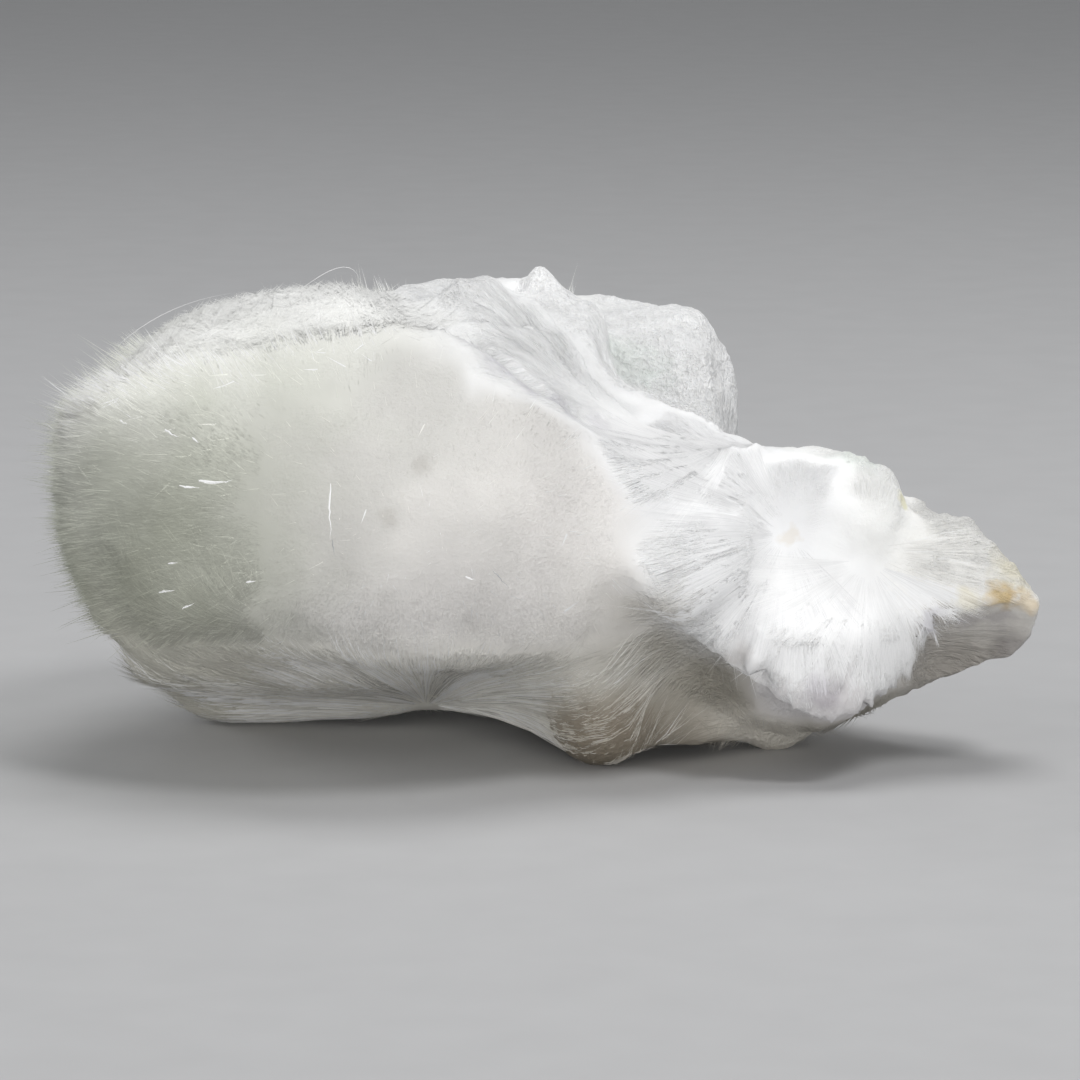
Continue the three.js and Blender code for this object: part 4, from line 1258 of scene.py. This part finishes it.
# Sprays: where their fibres start and run to, half their spread in degrees, their clumps, how far the
# clumps reach and where in them fibres start, how thick they lie, how strongly a clump gathers its
# fibres, and how much of the length is free and how far it lifts.
SPRAYS = [
    dict(name="lobe_rays", nucleus=LOBE_KNOT, toward=(4.5, -5.0, 8.4), spread=100, clumps=50,
         count=3300, reach=(5.0, 9.4), start=(0.07, 0.78), thick=0.04, gather=0.4, free=0.1, lift=0.05,
         width=(0.02, 0.034), color=(0.88, 0.88, 0.885), streaky=0.04, softness=0.95),
    dict(name="tuft_rays", nucleus=TUFT_KNOT, toward=(12.0, -4.5, 4.2), spread=78, clumps=36,
         count=2500, reach=(4.2, 5.7), start=(0.1, 0.8), thick=0.08, gather=0.5, free=0.25, lift=0.2,
         width=(0.02, 0.036), color=(0.92, 0.92, 0.92), streaky=0.03, softness=0.95),
    dict(name="fan_rays", nucleus=FAN_KNOT, toward=(-6, -3, 4.5), spread=105, clumps=60, count=3400,
         reach=(7.5, 16.5), start=(0.03, 0.75), thick=0.1, gather=0.4, free=0.0, lift=0.0,
         width=(0.03, 0.048), color=(0.92, 0.9, 0.845), streaky=0.16, softness=0.5),
    dict(name="shoulder_rays", nucleus=(7.9, 1.2, 12.9), toward=(2.5, -3.0, 12.8), spread=40, clumps=30,
         count=1000, reach=(4.5, 9.0), start=(0.1, 0.7), thick=0.04, gather=0.5, free=0.05, lift=0.05,
         width=(0.024, 0.04), color=(0.92, 0.92, 0.925), streaky=0.05, softness=0.9, sway=0.08),
    dict(name="tip_rays", nucleus=(12.6, -1.8, 9.0), toward=(18.5, -1.8, 7.6), spread=26, clumps=24,
         count=160, reach=(4.0, 6.6), start=(0.2, 0.7), thick=0.02, gather=0.3, free=0.0, lift=0.0,
         width=(0.02, 0.034), color=(0.9, 0.89, 0.86), streaky=0.05, softness=0.9),
]

# Needles that lie on the surface: the cottony top, combed streaks, the underside, and bright glints.
LYING = {
    "matted_top": dict(count=17000, length=(0.4, 0.9), width=(0.028, 0.045), astray=0.75,
                       rise=(0.05, 0.6), bright=1.0, grain=0.06, softness=0.7),
    "combed_fur": dict(count=7000, length=(0.7, 1.6), width=(0.025, 0.042), astray=0.06,
                       rise=(0.15, 0.5), bright=1.1, grain=0.17, softness=0.7),
    "under_fibres": dict(count=7000, length=(0.8, 2.0), width=(0.028, 0.045), astray=0.05,
                         rise=(0.0, 0.1), bright=1.0, grain=0.08, softness=0.8),
    "glints": dict(count=80, length=(0.4, 1.0), width=(0.06, 0.11), astray=0.08, rise=(0.3, 0.5),
                   bright=1.5, grain=0.1, softness=0.7),
}

# Single hairs that have come loose: start, the point that bends them, end, width, brightness, and whether
# they are laid on the surface.
HAIRS = [
    ((-17.7, 2.0, 16.8), (-15.6, 2.0, 18.7), (-12.7, 2.5, 18.95), 0.03, 0.75, False),
    ((-10.5, 8.0, 18.3), (-8.1, 8.0, 20.25), (-7.9, 8.0, 18.4), 0.03, 0.75, False),
    ((-8.85, -9.5, 13.3), (-8.8, -10.3, 12.2), (-8.7, -10.4, 11.0), 0.07, 1.0, True),
    ((-8.6, -10.3, 11.0), (-8.5, -10.3, 10.6), (-8.45, -10.3, 10.2), 0.06, 0.4, True),
    ((-2.3, -9.8, 9.6), (-1.8, -9.8, 9.2), (-1.4, -9.6, 8.6), 0.05, 0.5, True),
    ((-19.2, 0.5, 14.7), (-20.0, 0.3, 15.2), (-20.7, 0.2, 15.9), 0.04, 0.8, False),
    ((-19.5, 0.5, 14.3), (-20.1, 0.3, 14.5), (-20.6, 0.2, 14.8), 0.035, 0.8, False),
    ((-19.7, 0.5, 13.2), (-20.2, 0.5, 13.5), (-20.7, 0.4, 14.0), 0.035, 0.8, False),
    ((-19.6, 0.5, 11.4), (-20.2, 0.5, 11.8), (-20.8, 0.4, 12.0), 0.035, 0.8, False),
    ((-17.4, 0.5, 5.0), (-18.2, 0.4, 5.2), (-18.8, 0.3, 5.7), 0.04, 0.7, False),
    ((-15.6, 0.2, 16.6), (-16.1, 0.2, 17.3), (-16.5, 0.1, 17.9), 0.04, 0.8, False),
]

# Thick bright blades that catch the light on the puff: one end, the other end and width.
BLADES = [
    ((-14.1, -8.0, 12.9), (-12.6, -8.4, 13.1), 0.14),
    ((-14.8, -7.6, 12.6), (-14.0, -8.0, 12.7), 0.1),
    ((-17.6, -5.0, 15.1), (-17.1, -5.2, 14.8), 0.08),
    ((-15.6, -6.4, 15.1), (-15.0, -6.8, 14.8), 0.08),
    ((-14.4, -7.0, 14.7), (-14.0, -7.2, 14.4), 0.08),
    ((-15.4, -6.6, 8.2), (-14.7, -7.0, 8.4), 0.1),
    ((-14.6, -7.0, 7.6), (-14.0, -7.4, 7.9), 0.09),
    ((-15.0, -7.0, 9.4), (-14.6, -7.2, 9.5), 0.08),
    ((-11.8, -8.6, 9.0), (-11.4, -8.8, 9.1), 0.08),
    ((-3.3, -10.2, 9.4), (-2.9, -10.2, 9.2), 0.08),
]

# The steps and sides of a hair, how high laid ones float over the body, and the way all of them look.
HAIR_STEPS = 11
HAIR_SIDES = 5
HAIR_FLOATS = 0.35
BLADE_FLOATS = 0.4
HAIR_SOFTNESS = 0.5
TO_FRONT_AND_UP = (0.0, -0.7, 0.7)


def floated(skin, path, height):
    """A path moved to the body's surface and then off it by a height."""
    places, normals = skin.touch(path)
    return places + height * normals


def loose_hairs(name, skin):
    """One mesh of every loose hair and bright blade."""
    share = np.linspace(0, 1, HAIR_STEPS)[:, None]
    hairs = []
    for start, bend, end, width, bright, laid in HAIRS:
        start, bend, end = np.array([start, bend, end], float)
        path = (1 - share) ** 2 * start + 2 * share * (1 - share) * bend + share ** 2 * end
        hairs.append((floated(skin, path, HAIR_FLOATS) if laid else path, width, bright))
    for start, end, width in BLADES:
        path = np.array(start) * (1 - share) + np.array(end) * share
        hairs.append((floated(skin, path, BLADE_FLOATS), width, BRIGHTEST))
    paths, widths, brights = (np.array(column) for column in zip(*hairs))
    skins = np.broadcast_to(np.array(TO_FRONT_AND_UP), paths.shape)
    colors = brights[:, None] * np.ones(3)
    return joined_tubes(name, paths, widths, skins, HAIR_SOFTNESS, colors, sides=HAIR_SIDES)


def dress(piece, material):
    piece.data.materials.clear()
    piece.data.materials.append(material)
    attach(piece, "root")


# Where needles grow, from none or few at the first value to most at the second: by the share of the furry
# zones, by how far left, how low and how far off the floor the surface is, and by how far it looks up, or
# to the front or back.
FUR_SHARE = (0.3125, 0.9375)
LEFT_SIDE = (-3.2, -11.2)
LOW_SIDE = (11, 7)
OFF_FLOOR = (0.25, 0.75)
NOT_UP = (0.72, 0.47)
BULGE_NOT_UP = (0.625, 0)
RIM_WIDTH = 1 / 1.4
RIM = (0.75, 0.75 - RIM_WIDTH)

# What few means there, how far the front surface may look back, what the bulge has of other zones' needles,
# and a trace that keeps every weight above nothing.
FEW = 0.1
FEW_ON_FACE = 0.06
FRONT_UNTIL = 0.1
LONG_ON_BULGE = 0.02
GLINTS_ON_BULGE = 0.3
TRACE = 1e-7


def main():
    body, soft_normals = grow_body()
    skin = Skin(body, soft_normals)
    x, _, z = skin.points.T
    _, looks_back, looks_up = skin.normals.T
    furry = ramp(zone_share(skin.shares, "puff", "puff_top", "shaded_flank", "rear"), *FUR_SHARE)
    bulge = zone_share(skin.shares, *BULGE) ** 2
    front = looks_back < FRONT_UNTIL
    left = ramp(x, *LEFT_SIDE, FEW)
    rim = ramp(np.abs(looks_back), *RIM, FEW_ON_FACE)
    clear = ramp(z, *OFF_FLOOR)
    standing = {
        "velvet_bulge": bulge * ramp(looks_up, *BULGE_NOT_UP, FEW),
        "velvet_left": furry * front * ramp(looks_up, *NOT_UP),
        "velvet_back": furry * ~front,
        "long_needles": furry * left * rim + LONG_ON_BULGE * bulge,
    }
    lying = {
        "matted_top": zone_share(skin.shares, "mat"),
        "combed_fur": furry * front * left * ramp(z, *LOW_SIDE),
        "under_fibres": zone_share(skin.shares, "fan", "fan_left", "shaded_under", "skirt", "foot"),
        "glints": (furry + GLINTS_ON_BULGE * bulge) * front,
    }
    fur = needle_material("FineNeedles", 0.5)
    silk = needle_material("SilkyFibres", 0.4)
    dress(body, body_material())
    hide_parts("okenite_cluster")
    for name, weights in standing.items():
        dress(velvet(name, skin, weights * clear + TRACE, STANDING[name]), fur)
    for spec in SPRAYS:
        dress(spray(spec["name"], skin, spec), silk)
    for name, weights in lying.items():
        dress(lying_needles(name, skin, weights ** 2 * clear + TRACE, LYING[name]), silk)
    dress(loose_hairs("loose_hairs", skin), silk)
    set_stage()
    set_camera()
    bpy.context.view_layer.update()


main()
